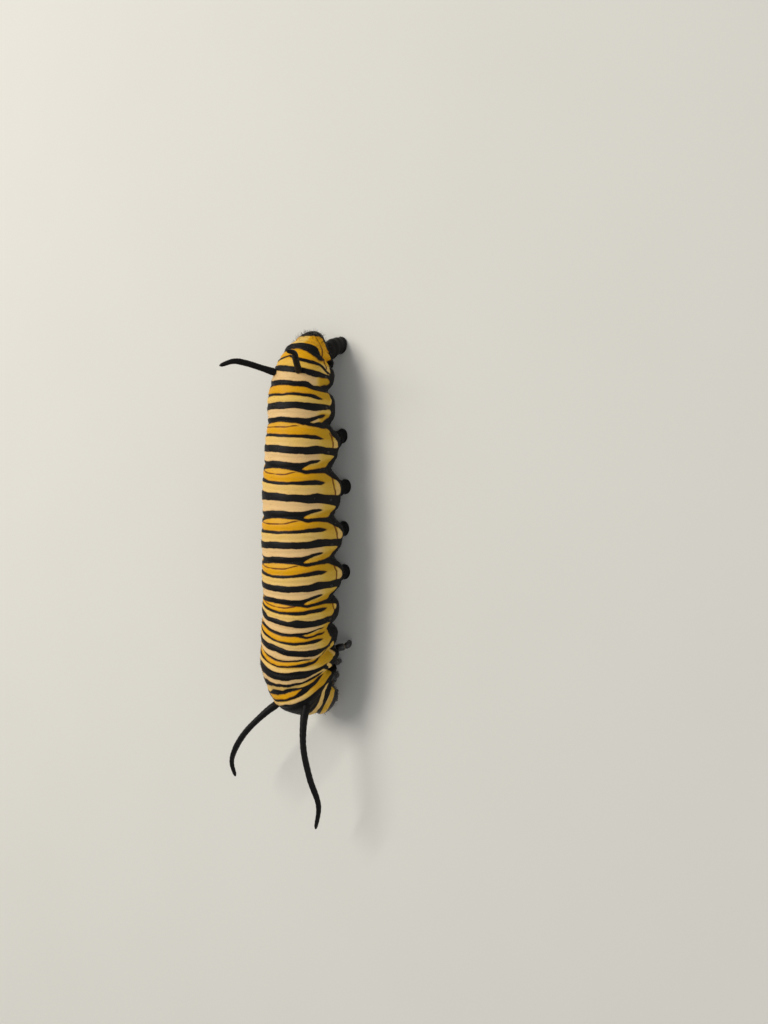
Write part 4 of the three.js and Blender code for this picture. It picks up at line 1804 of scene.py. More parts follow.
@dataclass(frozen=True)
class Skin:
    """One closed skin over the body, its soft legs and its filaments."""

    body: Body
    markings: Markings
    seam_reach: float = 0.28
    smoothings: int = 6
    merge: float = 0.004
    limb_ink: float = 0.05

    def joined(self, trunk: Mesh, limbs: Sequence[Mesh]) -> Mesh:
        """The trunk with its limbs, as one closed mesh.

        Args:
            trunk: The trunk.
            limbs: The limbs, each rooted inside it.

        Returns:
            The joined mesh.
        """
        whole = passing("trunk", trunk)
        others = [passing(f"limb_{number}", limb) for number, limb in enumerate(limbs)]
        for other in others:
            cut = whole.modifiers.new(other.name, "BOOLEAN")
            cut.operation = "UNION"
            cut.solver = "MANIFOLD"
            cut.object = other
        made = result(whole, others)
        bmesh.ops.remove_doubles(made, verts=made.verts, dist=self.merge)
        return made

    def smooth_seams(self, made: Mesh, tree: BVHTree) -> None:
        """Rounds the joined mesh where the limbs grow out of the trunk.

        Args:
            made: The mesh.
            tree: The trunk's faces, for finding what is near it.
        """
        seam = [
            vertex for vertex in made.verts if self.merge < tree.find_nearest(vertex.co)[3] < self.seam_reach
        ]
        all_axes = {f"use_axis_{axis}": True for axis in "xyz"}
        for _ in range(self.smoothings):
            bmesh.ops.smooth_vert(made, verts=seam, factor=0.5, **all_axes)
        bmesh.ops.recalc_face_normals(made, faces=made.faces)

    def nearest(
        self, made: Mesh, tree: BVHTree, trunk: Mesh, place: Array, angle: Array
    ) -> tuple[Array, Array, Array]:
        """Where on the trunk the points of a mesh are nearest to.

        Args:
            made: The mesh.
            tree: The trunk's faces, for finding the nearest.
            trunk: The trunk.
            place: The places of the trunk's points.
            angle: Their angles.

        Returns:
            The place, the angle and the distance of each point.
        """
        corners = [[vertex.index for vertex in face.verts] for face in trunk.faces]
        spots = points_of(trunk)
        near_place, near_angle, away = (np.empty(len(made.verts)) for _ in range(3))
        for number, vertex in enumerate(made.verts):
            spot, _, face, away[number] = tree.find_nearest(vertex.co)
            ring = corners[face]
            weight = 1 / (np.linalg.norm(spots[ring] - np.array(spot), axis=1) + 1e-5) ** 2
            weight /= weight.sum()
            turns = angle[ring]
            turns = turns - 360 * np.round((turns - turns[0]) / 360)
            near_place[number] = weight @ place[ring]
            near_angle[number] = weight @ turns
        return near_place, (near_angle + 180) % 360 - 180, away

    def build(self, limbs: dict[str, Mesh]) -> Piece:
        """The whole skin with its markings.

        Args:
            limbs: The soft legs and filaments, by the names of their nodes.

        Returns:
            The skin.
        """
        trunk, place, angle = self.body.build()
        tree = BVHTree.FromBMesh(trunk)
        made = self.joined(trunk, list(limbs.values()))
        self.smooth_seams(made, tree)
        near_place, near_angle, away = self.nearest(made, tree, trunk, place, angle)
        values = self.markings.draw(near_place, near_angle)
        values["ink"] = np.maximum(values["ink"], (away - self.limb_ink) * 2)
        trunk.free()
        return Piece("skin", made, BandedSkin(), Slot.SKIN, [*self.body.segments, *limbs], values)


# The head


@dataclass(frozen=True)
class Joint:
    """A round joint of a feeler: its start, its end, its radius at both, how soft it is and its faces."""

    start: float
    end: float
    low: float
    high: float
    soft: float = 0
    around: int = 18
    rings: int = 16


@dataclass(frozen=True)
class Head:
    """The hard head capsule, its simple eyes, feelers and mouthparts.

    Its own axes are x to its left, y to its back and z to its crown. Directions are degrees round from the
    face and degrees over the cheeks.
    """

    finish: ShellFinish = ShellFinish("head_shell")
    x: float = 0.45
    y: float = -16.95
    z: float = 1.66
    lean: float = 66
    half: float = 1.72
    depth: float = 1.25
    height: float = 1.74
    groove_depth: float = 0.2
    groove_half: float = 0.16
    cheek_width: float = 0.06
    cheek_height: float = -0.35
    cheek_reach: float = 0.5
    jaw_taper: float = 0.35
    eye_side: float = 62
    eye_up: float = -14
    eye_bulge: float = 0.05
    eye_spread: float = 17
    eye_sunk: float = 0.02
    lens: float = 0.13
    lens_height: float = 0.8
    rim: float = 1.08
    rim_thickness: float = 0.028
    lenses: tuple[Pair, ...] = ((-19, 2), (-10, 14), (3, 16), (14, 8), (16, -5), (-6, -10))
    feeler_side: float = 58
    feeler_up: float = -52
    feeler_joints: tuple[Joint, ...] = (
        Joint(0, 0.36, 0.23, 0.2, soft=1), Joint(0.3, 0.72, 0.165, 0.15), Joint(0.68, 0.97, 0.095, 0.075),
        Joint(0.95, 1.15, 0.022, 0.008, around=6, rings=8),
    )
    suture: tuple[Pair, ...] = ((1, 46), (5, 34), (12, 14), (20, -12), (26, -44))
    suture_depth: float = 0.05
    suture_half: float = 0.07
    brow_depth: float = 0.045
    brow_half: float = 0.05
    bulge: float = 0.05
    bulge_side: float = 14
    bulge_up: Pair = (-8, 34)
    dents: float = 0.012
    face_edge: Pair = (-0.2, 0.25)
    brow: tuple[Pair, ...] = ((-27, -46), (-12, -41), (0, -40), (12, -41), (27, -46))
    inner_stripe: tuple[Pair, ...] = ((4, 50), (8, 40), (15, 24), (23, 2), (30, -20), (35, -42))
    outer_stripe: tuple[Pair, ...] = (
        (9, 84), (40, 74), (80, 62), (102, 48), (110, 32), (111, 16), (112, 0), (113, -13), (112, -20),
    )
    # A short pale stroke under each eye: a painted highlight.
    painted_cheek_highlight: tuple[Pair, ...] = ((76, -33), (73, -40), (70, -47))
    brow_stripe: tuple[Pair, ...] = ((-24, -55), (0, -51), (24, -55))
    upper_place: Triple = (0, -0.76, -1.42)
    upper_size: Triple = (0.48, 0.22, 0.32)
    jaw_place: Triple = (0.42, -0.2, -1.8)
    jaw_size: Triple = (0.26, 0.26, 0.36)
    lower_place: Triple = (0, 0.52, -1.6)
    lower_size: Triple = (0.4, 0.24, 0.36)
    fingers: tuple[tuple[Triple, Triple, float, float], ...] = (
        ((0, -0.02, -0.2), (0, -0.14, -0.4), 0.085, 0.03),
        ((-0.29, -0.05, -0.12), (-0.319, -0.16, -0.3), 0.11, 0.085),
        ((-0.3132, -0.14, -0.27), (-0.3248, -0.22, -0.4), 0.065, 0.03),
        ((0.29, -0.05, -0.12), (0.319, -0.16, -0.3), 0.11, 0.085),
        ((0.3132, -0.14, -0.27), (0.3248, -0.22, -0.4), 0.065, 0.03),
    )
    # Half widths of the inner stripe, the outer stripe, the painted highlight under each eye and the brow
    # stripe.
    widths: tuple[float, ...] = (0.115, 0.19, 0.05, 0.085)
    widening: float = 0.1
    widening_sides: Pair = (70, 105)
    radius: float = 1.55
    around: int = 150
    rings: int = 110

    def axes(self) -> Array:
        """The head's own axes as columns in the larva's frame."""
        a = math.radians(self.lean)
        return np.array([[1, 0, 0], [0, math.cos(a), -math.sin(a)], [0, math.sin(a), math.cos(a)]])

    def out(self, points: Array) -> Array:
        """Points of the head's own axes, in the larva's frame."""
        return points @ self.axes().T + (self.x, self.y, self.z)

    def directions(self, sides: Array, ups: Array) -> Array:
        """Unit vectors in the head's own axes for degrees round from the face and over the cheeks."""
        s, u = np.radians(sides), np.radians(ups)
        return np.stack([np.cos(u) * np.sin(s), -np.cos(u) * np.cos(s), np.sin(u)], axis=-1)

    def shell(self, directions: Array, grow: Level = 0) -> Array:
        """Points of the shell in its own axes.

        Args:
            directions: The directions from its middle, one row each.
            grow: How far over the shell they are, in millimetres.

        Returns:
            The points.
        """
        x, _, z = directions.T
        groove = self.groove_depth * z.clip(0) * bell(x / self.groove_half)
        cheeks = 1 + self.cheek_width * bell((z - self.cheek_height) / self.cheek_reach)
        jaw = 1 - self.jaw_taper * (self.cheek_height - z).clip(0)
        points = directions * (self.half, self.depth, self.height)
        points[:, 0] *= cheeks * jaw
        length = np.linalg.norm(points, axis=1)
        return points * ((length - groove + grow) / length)[:, None]

    def spot(self, side: float, up: float, grow: float = 0) -> Array:
        """One point of the shell, in the head's own axes."""
        return self.shell(self.directions(np.array([side]), np.array([up])), grow)[0]

    def from_line(self, directions: Array, line: Sequence[Pair]) -> Array:
        """How far points of the shell are from a line on it.

        Args:
            directions: The points' directions from its middle.
            line: The line's corners. A line that is all on the left also counts for the right.

        Returns:
            The distances, in millimetres.
        """
        sides, ups = np.array(line, float).T
        corners = self.directions(sides, ups) * self.radius
        folded = directions.copy()
        if sides.min() >= 0:
            folded[:, 0] = np.abs(folded[:, 0])
        return away_from(folded * self.radius, smooth_path(corners, 40))

    def detail(self, directions: Array, side: Array, up: Array) -> Array:
        """The capsule's relief: its sutures, its brow, and low swellings of the face and about the eyes.

        Args:
            directions: The points' directions from its middle.
            side: Their degrees round from the face.
            up: Their degrees over the cheeks.

        Returns:
            The height at each, in millimetres.
        """
        on_face = rise(-directions[:, 1], *self.face_edge)
        suture = bell(self.from_line(directions, self.suture) / self.suture_half)
        brow = bell(self.from_line(directions, self.brow) / self.brow_half)
        out = -(self.suture_depth * suture + self.brow_depth * brow) * on_face
        middle, reach = self.bulge_up
        out += self.bulge * on_face * bell(side / self.bulge_side) * bell((up - middle) / reach)
        eye = self.directions(np.array([self.eye_side]), np.array([self.eye_up]))[0]
        mirrored = np.column_stack([np.abs(directions[:, 0]), directions[:, 1:]])
        apart = np.degrees(np.arccos(np.clip(mirrored @ eye, -1, 1)))
        out += self.eye_bulge * bell(apart / self.eye_spread)
        return out + self.dents * wobble(side / 70, 3) * wobble(up / 50, 5)

    def capsule(self) -> Piece:
        """The capsule with its relief, its yellow stripes and a painted highlight under each eye.

        Returns:
            The capsule.
        """
        made = ball(self.around, self.rings)
        directions = points_of(made)
        side = np.degrees(np.arctan2(directions[:, 0], -directions[:, 1]))
        up = np.degrees(np.arcsin(np.clip(directions[:, 2], -1, 1)))
        # The third line is the painted highlight under each eye, in the stripes' yellow.
        lines = (self.inner_stripe, self.outer_stripe, self.painted_cheek_highlight, self.brow_stripe)
        stripes = [width - self.from_line(directions, line) for width, line in zip(self.widths, lines)]
        stripes[1] += self.widening * rise(np.abs(side), *self.widening_sides)
        points = self.out(self.shell(directions, self.detail(directions, side, up)))
        values = {"stripe": np.max(stripes, axis=0), "soft": np.zeros(len(points))}
        return Piece("head_capsule", move(made, points), self.finish, Slot.HEAD, ["head"], values)

    def stood(self, made: Mesh, middle: Array, out: Array) -> Mesh:
        """Stands a small mesh on the shell.

        Args:
            made: The mesh, whose +Z is to point out.
            middle: The point of the shell, in the head's own axes.
            out: The way out there.

        Returns:
            The mesh.
        """
        turn = Vector(out).to_track_quat("Z", "Y").to_matrix()
        points = points_of(made) @ np.array(turn).T + middle
        return move(made, self.out(points))

    def eye(self, side: Side) -> Piece:
        """Six clear lenses, each in a low ring.

        Args:
            side: The side of the head.

        Returns:
            The six as one piece.
        """
        parts = []
        for to_front, up in self.lenses:
            direction = (side.value * (self.eye_side - to_front), self.eye_up + up)
            middle = self.spot(*direction, self.eye_bulge - self.eye_sunk)
            out = unit(self.spot(*direction, 0.5) - middle)
            lens = ball(16, 12)
            vec = (self.lens, self.lens, self.lens * self.lens_height)
            bmesh.ops.scale(lens, vec=vec, verts=lens.verts)
            parts += [self.stood(lens, middle, out), self.stood(self.ring(), middle, out)]
        return Piece(f"eyes_{side.word}", together(parts), LensFinish(), Slot.EYE, [f"eye_{side.word}"])

    def ring(self) -> Mesh:
        """A low round rim about a lens, spun from a small circle.

        Returns:
            The rim, round +Z.
        """
        made = bmesh.new()
        shift = Matrix.Translation((self.lens * self.rim, 0, 0))
        turn = Matrix.Rotation(math.pi / 2, 4, "X")
        bmesh.ops.create_circle(made, segments=6, radius=self.rim_thickness, matrix=shift @ turn)
        bmesh.ops.spin(
            made, geom=made.verts[:] + made.edges[:], cent=(0, 0, 0), axis=(0, 0, 1),
            angle=2 * math.pi, steps=18, use_merge=True,
        )
        bmesh.ops.remove_doubles(made, verts=made.verts, dist=0.001)
        return made

    def feeler(self, side: Side) -> Piece:
        """A feeler of three joints on a soft socket, with one long bristle.

        Args:
            side: The side of the head.

        Returns:
            The feeler.
        """
        direction = (side.value * self.feeler_side, self.feeler_up)
        root, tip = self.spot(*direction, -0.12), self.spot(*direction, 0.5)
        parts, soft = [], []
        for joint in self.feeler_joints:
            shares = np.linspace(joint.start, joint.end, 9)
            path = self.out(root + (tip - root) * shares[:, None])
            made, _ = sweep(path, np.linspace(joint.low, joint.high, 9), joint.around, joint.rings)
            soft.append(np.full(len(made.verts), float(joint.soft)))
            parts.append(made)
        values = unstriped(np.concatenate(soft))
        nodes = [f"antenna_{side.word}"]
        return Piece(f"feeler_{side.word}", together(parts), self.finish, Slot.HEAD, nodes, values)

    def upper_lip(self) -> Piece:
        """The upper lip: a plate with a notch in the middle of its edge.

        Returns:
            The lip.
        """
        made = ball(48, 32)
        d = points_of(made)
        notch = 0.34 * bell(d[:, 0] / 0.24) * (-d[:, 2]).clip(0)
        points = d * self.upper_size
        points[:, 2] *= 1 - notch
        points[:, 1] -= 0.03 * bell(d[:, 0] / 0.5) * (d[:, 1] < 0)
        values = unstriped(0.9 * bell((d[:, 2] - 0.75) / 0.3))
        move(made, self.out(points + self.upper_place))
        return Piece("upper_lip", made, self.finish, Slot.HEAD, ["labrum"], values)

    def jaw(self, side: Side) -> Piece:
        """A jaw: a stout wedge with a row of teeth along its inner edge.

        Args:
            side: The side of the head.

        Returns:
            The jaw.
        """
        made = ball(40, 32)
        d = points_of(made)
        low = (-d[:, 2]).clip(0)
        teeth = 0.12 * low * np.cos(d[:, 1] * 11) ** 2
        points = d * self.jaw_size
        points[:, 0] *= 1 - 0.45 * low
        points[:, 2] *= 1 + teeth - 0.1 * low
        x, y, z = self.jaw_place
        move(made, self.out(points + (side.value * x, y, z)))
        values, nodes = unstriped(np.zeros(len(d))), [f"mandible_{side.word}"]
        return Piece(f"jaw_{side.word}", made, self.finish, Slot.HEAD, nodes, values)

    def lower_lip(self) -> Piece:
        """The lower lip with its spinneret and a jointed palp on each side.

        Returns:
            The lip.
        """
        made = ball(40, 28)
        d = points_of(made)
        furrow = 0.12 * bell((np.abs(d[:, 0]) - 0.38) / 0.12) * (-d[:, 2]).clip(0)
        points = d * self.lower_size * (1 - furrow)[:, None]
        parts = [move(made, self.out(points + self.lower_place))]
        soft = [0.8 * bell((d[:, 2] + 0.1) / 0.25)]
        for start, end, low, high in self.fingers:
            path = self.out(np.linspace(start, end, 6) + self.lower_place)
            part, _ = sweep(path, np.linspace(low, high, 6), 14, 12)
            soft.append(np.zeros(len(part.verts)))
            parts.append(part)
        values = unstriped(np.concatenate(soft))
        return Piece("lower_lip", together(parts), self.finish, Slot.HEAD, ["labium"], values)

    def build(self) -> list[Piece]:
        """The whole head.

        Returns:
            Its pieces.
        """
        pieces = [self.capsule(), self.upper_lip(), self.lower_lip()]
        for side in Side:
            pieces += [self.eye(side), self.feeler(side), self.jaw(side)]
        return pieces


# The jointed legs


@dataclass(frozen=True)
class JointedLegs:
    """The six true legs: four hard joints with soft skin between them, and a hooked claw.

    sizes gives for each segment of the thorax the leg's place and angle on the body, how far out and where
    its claw stands and how far its knee bends out.
    """

    body: Body
    sizes: dict[int, tuple[float, float, float, float, float]] = field(default_factory=lambda: {
        1: (0.45, 138, 1.3, -14.95, 0.45), 2: (1.45, 142, 2.05, -13.8, 0.3), 3: (2.66, 138, 3.1, -11.9, 0.75),
    })
    base: float = 0.46
    tip: float = 0.2
    claw_height: float = 0.16
    root_share: float = 0.75
    knee_place: float = 0.55
    knee_rise: float = 0.2
    joints: tuple[float, ...] = (0.34, 0.58, 0.79)
    joint_reach: float = 0.022
    joint_depth: float = 0.26
    barrel_ends: Pair = (0.1, 1.06)
    barrel: float = 0.06
    barrel_rise: float = 0.05
    slimmest: float = 0.93
    soft_end: Pair = (0.08, 0.16)
    claw_start: float = 0.93
    end_start: float = 0.85
    end_narrowing: float = 0.3
    claw_bends: tuple[Pair, ...] = ((0, 0), (0.16, 0), (0.26, -0.06))
    claw_reach: float = 0.27
    claw_low: float = 0.02
    claw_radii: Pair = (0.085, 0.016)
    finish: ShellFinish = ShellFinish("leg_shell")
    steps: int = 120
    around: int = 28
    rings: int = 110

    def path(self, number: int, side: Side) -> Array:
        """The middle line of a leg, from inside the body to its claw.

        Args:
            number: The segment of the thorax.
            side: The side of the body.

        Returns:
            The line's points, one row each.
        """
        place, angle, out, y, knee = self.sizes[number]
        root = self.body.point(place, side.value * angle)
        inside = self.body.point(place, side.value * angle, self.root_share)
        x = self.body.axes(np.array([place]))[0][0][0]
        claw = np.array([x + side.value * out, y, self.claw_height])
        bend = root + (claw - root) * self.knee_place + (side.value * knee, 0, self.knee_rise)
        return smooth_path([inside, root, bend, claw], self.steps)

    def limb(self, path: Array) -> tuple[Mesh, Array]:
        """A leg without its claw: four barrels, slim and soft where they meet.

        Args:
            path: Its middle line.

        Returns:
            The limb, and how soft each of its points is.
        """
        s = np.linspace(0, 1, self.steps)
        start, end = self.barrel_ends
        edges = np.array([start, *self.joints, end])
        part = np.clip(np.searchsorted(edges, s) - 1, 0, len(edges) - 2)
        within = np.clip((s - edges[part]) / (edges[part + 1] - edges[part]), 0, 1)
        barrel = self.barrel * np.sin(np.pi * within**0.8) + self.barrel_rise * within
        radii = (self.base + (self.tip - self.base) * s) * (self.slimmest + barrel)
        radii *= 1 - self.end_narrowing * rise(s, self.end_start, self.claw_start)
        soft = 1 - rise(s, *self.soft_end)
        for joint in self.joints:
            pinch = bell((s - joint) / self.joint_reach)
            radii *= 1 - self.joint_depth * pinch
            soft = np.maximum(soft, pinch)
        keep = s < self.claw_start
        made, at = sweep(path[keep], radii[keep], self.around, self.rings)
        for vertex in made.verts:
            vertex.co.z = max(vertex.co.z, 0.0)
        return made, np.interp(at, np.linspace(0, 1, keep.sum()), soft[keep])

    def claw(self, path: Array) -> Mesh:
        """The hooked claw at a leg's end.

        Args:
            path: The leg's middle line.

        Returns:
            The claw.
        """
        start = path[np.linspace(0, 1, self.steps) < self.claw_start][-1]
        out = unit(path[-1] - path[-20])
        bends = [start + out * far + (0, 0, up) for far, up in self.claw_bends]
        x, y, _ = start + out * self.claw_reach
        line = smooth_path([*bends, (x, y, self.claw_low)], 12)
        return sweep(line, np.linspace(*self.claw_radii, 12), 10, 14)[0]

    def leg(self, number: int, side: Side) -> Piece:
        """One leg with its claw.

        Args:
            number: The segment of the thorax.
            side: The side of the body.

        Returns:
            The leg.
        """
        path = self.path(number, side)
        limb, soft = self.limb(path)
        claw = self.claw(path)
        values = unstriped(np.concatenate([soft, np.zeros(len(claw.verts))]))
        name = f"leg_{number}_{side.word}"
        return Piece(f"jointed_{name}", together([limb, claw]), self.finish, Slot.LEG, [name], values)

    def build(self) -> list[Piece]:
        """All six legs."""
        return [self.leg(number, side) for number in self.sizes for side in Side]


# Breathing holes and bristles


@dataclass(frozen=True)
class Spiracles:
    """The black oval breathing holes low on both sides."""

    body: Body
    places: tuple[float, ...] = (0.62, 3.34, 4.34, 5.34, 6.34, 7.34, 8.34, 9.4, 10.3)
    angle: float = 88
    half: float = 0.1
    height: float = 0.17
    thickness: float = 0.035
    rim_place: float = 0.75
    rim_reach: float = 0.2
    rim_rise: float = 0.6
    slit_depth: float = 0.055
    slit_shares: Pair = (0.3, 0.75)

    def build(self) -> Piece:
        """All the breathing holes: an oval rim about a sunken slit.

        Returns:
            All of them as one piece.
        """
        parts, step = [], 0.02
        for place in self.places:
            for side in Side:
                angle = side.value * self.angle
                at = np.array([place]), np.array([angle])
                middle = self.body.plain_points(*at, 1, self.body.fine_relief(*at))[0]
                out = self.body.normals(*at)[0]
                lengthwise = unit(self.body.point(place + step, angle) - self.body.point(place - step, angle))
                crosswise = np.cross(out, lengthwise)
                made = ball(24, 16)
                d = points_of(made)
                x, y, z = d.T
                wide, long = self.slit_shares
                slit = self.slit_depth * bell(x / wide) * bell(y / long) * (z > 0)
                rim = bell((np.hypot(x, y) - self.rim_place) / self.rim_reach)
                height = self.thickness * z * (1 + self.rim_rise * rim) - slit
                points = middle + lengthwise * (self.half * d[:, :1]) + crosswise * (self.height * d[:, 1:2])
                parts.append(move(made, points + out * height[:, None]))
        return Piece("spiracles", together(parts), HornFinish(), Slot.SOFT)


@dataclass
class Bristles:
    """Short tapered hairs, three-sided and closed, each with its own small patch of the coat's map.

    heights, leans and widths give for the hair's buried end, its root, its middle and its tip how far up it
    is, how far over it leans and how wide it is, as shares of its length and its radius.
    """

    name: str
    seed: int
    sides: int = 3
    heights: tuple[float, ...] = (-0.12, -0.1, 0.5, 0.92)
    leans: tuple[float, ...] = (0, 0, 0.12, 0.42)
    widths: tuple[float, ...] = (0, 1, 0.7, 0)
    patch: float = 0.003
    map_name: str = "OFBake"
    hairs: list[tuple[float, ...]] = field(default_factory=list)

    def __post_init__(self) -> None:
        """Starts the seeded draws."""
        self.draw = np.random.default_rng(self.seed)

    def add(
        self, root: Array, out: Array, lie: Array, length: float, radius: float, pale: float, spot: Pair
    ) -> None:
        """Adds one hair, with its length and radius in millimetres and its root's spot on the map."""
        self.hairs.append((*root, *out, *lie, length, radius, pale, *spot))

    def piece(self) -> Piece:
        """All the hairs as one mesh, an array of one small hair bent and set point by point.

        Returns:
            The coat, with its map.
        """
        hair = ball(self.sides, len(self.heights) - 1)
        turn, share = turns_and_shares(hair)
        copies = passing(self.name, hair)
        array = copies.modifiers.new("copies", "ARRAY")
        array.count = len(self.hairs)
        array.use_relative_offset = False
        made = result(copies)
        roots, outs, lies, sizes, spots = np.split(np.array(self.hairs)[:, None], [3, 6, 9, 12], axis=2)
        length, radius, pale = sizes[..., :1], sizes[..., 1:2], sizes[:, 0, 2]
        levels = np.linspace(0, 1, len(self.heights))
        height, lean, width = (
            np.interp(share, levels, row)[:, None] for row in (self.heights, self.leans, self.widths)
        )
        askew = (0.011, 0.017, 0.023)
        across = unit(np.cross(outs, lies + askew))
        other = np.cross(outs, across)
        a = np.radians(turn)[:, None]
        points = roots + (outs * height + lies * lean) * length
        points = points + (across * np.cos(a) + other * np.sin(a)) * radius * width
        move(made, points.reshape(-1, 3))
        layer = made.loops.layers.uv.new(self.map_name)
        for face in made.faces:
            for loop in face.loops:
                number, corner = divmod(loop.vert.index, len(share))
                u, v = spots[number, 0]
                loop[layer].uv = (u + self.patch * turn[corner] / 360, v + self.patch * (share[corner] - 0.5))
        values = {"pale": np.repeat(pale, len(share))}
        return Piece(self.name, made, BristleFinish(), Slot.SOFT, values=values)


def inset(share: float) -> float:
    """A place on a coat's map that keeps clear of the map's edges."""
    return 0.02 + 0.96 * share


@dataclass(frozen=True)
class Coat:
    """Where the hairs grow: sparse and tiny on the body, longer on the soft legs, the tail and the head."""

    body: Body
    markings: Markings
    head: Head
    legs: JointedLegs
    body_count: int = 1500
    body_places: Pair = (0.6, 12.9)
    tail_count: int = 190
    tail_places: Pair = (12.1, 12.98)
    leg_count: int = 110
    filament_count: int = 90
    head_count: int = 150
    shell_count: int = 26
    body_lengths: Pair = (0.12, 0.3)
    body_share: float = 0.75
    tail_share: float = 1.6
    leg_lengths: Pair = (0.2, 0.5)
    filament_lengths: Pair = (0.05, 0.1)
    head_lengths: Pair = (0.12, 0.36)
    shell_lengths: Pair = (0.1, 0.22)
    trunk_gap: float = 0.12
    floor_gap: float = 0.05
    sole_gap: float = 0.15
    face_side: float = 115
    face_ups: Pair = (-55, 75)
    shell_shares: Pair = (0.42, 0.9)

    def on_body(self) -> Bristles:
        """The tiny hairs of the trunk, more of them on the tail plate.

        Returns:
            The hairs.
        """
        coat = Bristles("bristles_body", SEED)
        draw = coat.draw
        rows = ((self.body_places, 180, self.body_count), (self.tail_places, 80, self.tail_count))
        place = np.concatenate([draw.uniform(*places, count) for places, _, count in rows])
        angle = np.concatenate([draw.uniform(-widest, widest, count) for _, widest, count in rows])
        points = self.body.plain_points(place, angle, 1, self.body.fine_relief(place, angle))
        normals = self.body.normals(place, angle)
        tailward = self.body.axes(place)[2]
        ink = self.markings.draw(place, angle)["ink"]
        for number, (root, out, lie) in enumerate(zip(points, normals, tailward)):
            is_tail = place[number] > 12
            length = draw.uniform(*self.body_lengths) * (self.tail_share if is_tail else self.body_share)
            spot = inset((angle[number] + 180) / 360), inset(place[number] / self.body.tail)
            pale = draw.uniform(0.3, 0.9) if ink[number] > 0 else draw.uniform(0, 0.25)
            radius = 0.01 if is_tail else 0.009
            coat.add(root, out, lie * draw.uniform(0.2, 1), length, radius, pale, spot)
        return coat

    def on_limbs(self, limbs: dict[str, Mesh], trunk: BVHTree) -> Bristles:
        """The hairs of the soft legs and the filaments, outside the trunk.

        Args:
            limbs: The limbs, by the names of their nodes.
            trunk: The trunk's faces, for leaving out what lies inside it.

        Returns:
            The hairs.
        """
        coat = Bristles("bristles_limbs", SEED + 1)
        draw = coat.draw
        columns = 4
        for tile, (name, limb) in enumerate(limbs.items()):
            is_leg = "proleg" in name
            verts = [vertex for vertex in limb.verts if vertex.co.z > self.sole_gap]
            chosen = draw.choice(len(verts), min(len(verts), 3 * self.leg_count), replace=False)
            wanted = self.leg_count if is_leg else self.filament_count
            left, low = inset((tile % columns) / columns), inset((tile // columns) / columns)
            for index in chosen:
                vertex = verts[index]
                spot, normal, _, away = trunk.find_nearest(vertex.co)
                if away < self.trunk_gap or (vertex.co - spot).dot(normal) < 0:
                    continue
                wanted -= 1
                if wanted < 0:
                    break
                length = draw.uniform(*(self.leg_lengths if is_leg else self.filament_lengths))
                radius = 0.009 if is_leg else 0.007
                share = vertex.index / len(limb.verts)
                uv = (left + 0.2 * (share * 37 % 1), low + 0.2 * share)
                lie = np.array([0.0, 0.0, -1.0]) if is_leg else np.array([0.0, 0.4, 0.0])
                pale = draw.uniform(0.3, 1.0) if is_leg else draw.uniform(0, 0.2)
                root, out = np.array(vertex.co), np.array(vertex.normal)
                coat.add(root, out, lie * draw.uniform(0, 0.8), length, radius, pale, uv)
        return coat

    def on_head(self) -> Bristles:
        """The hairs of the face, the crown and the jointed legs.

        Returns:
            The hairs.
        """
        coat = Bristles("bristles_head", SEED + 2)
        draw = coat.draw
        widest, (lowest, highest) = self.face_side, self.face_ups
        sides = draw.uniform(-widest, widest, self.head_count)
        ups = draw.uniform(lowest, highest, self.head_count)
        directions = self.head.directions(sides, ups)
        roots = self.head.out(self.head.shell(directions))
        outs = unit(self.head.out(self.head.shell(directions, 0.5)) - roots)
        for number, (root, out) in enumerate(zip(roots, outs)):
            lie = self.head.axes()[:, 2] * -draw.uniform(0.2, 0.9)
            across = (sides[number] + widest) / (2 * widest)
            spot = (0.05 + 0.5 * across, 0.05 + 0.85 * (ups[number] - lowest) / (highest - lowest))
            coat.add(root, out, lie, draw.uniform(*self.head_lengths), 0.012, draw.uniform(0.2, 0.9), spot)
        for row, number in enumerate(self.legs.sizes):
            for column, side in enumerate(Side):
                path = self.legs.path(number, side)
                tangents = unit(np.gradient(path, axis=0))
                for _ in range(self.shell_count):
                    at = int(draw.uniform(*self.shell_shares) * self.legs.steps)
                    out = unit(np.cross(tangents[at], draw.normal(size=3)))
                    radius = self.legs.base + (self.legs.tip - self.legs.base) * at / self.legs.steps
                    root = path[at] + out * radius * 0.9
                    length = draw.uniform(*self.shell_lengths)
                    if root[2] + out[2] * length < self.floor_gap:
                        continue
                    u, v = 0.65 + 0.15 * column, 0.05 + 0.3 * row
                    spot = (u + 0.1 * draw.random(), v + 0.2 * at / self.legs.steps)
                    coat.add(root, out, tangents[at] * 0.6, length, 0.01, draw.uniform(0, 0.5), spot)
        return coat


# The camera, the light and the floor


@dataclass(frozen=True)
class SoftLight:
    """A square light: its name, its place and side in millimetres, its power in watts and its colour."""

    name: str
    at: Triple
    size: float
    power: float
    colour: Colour


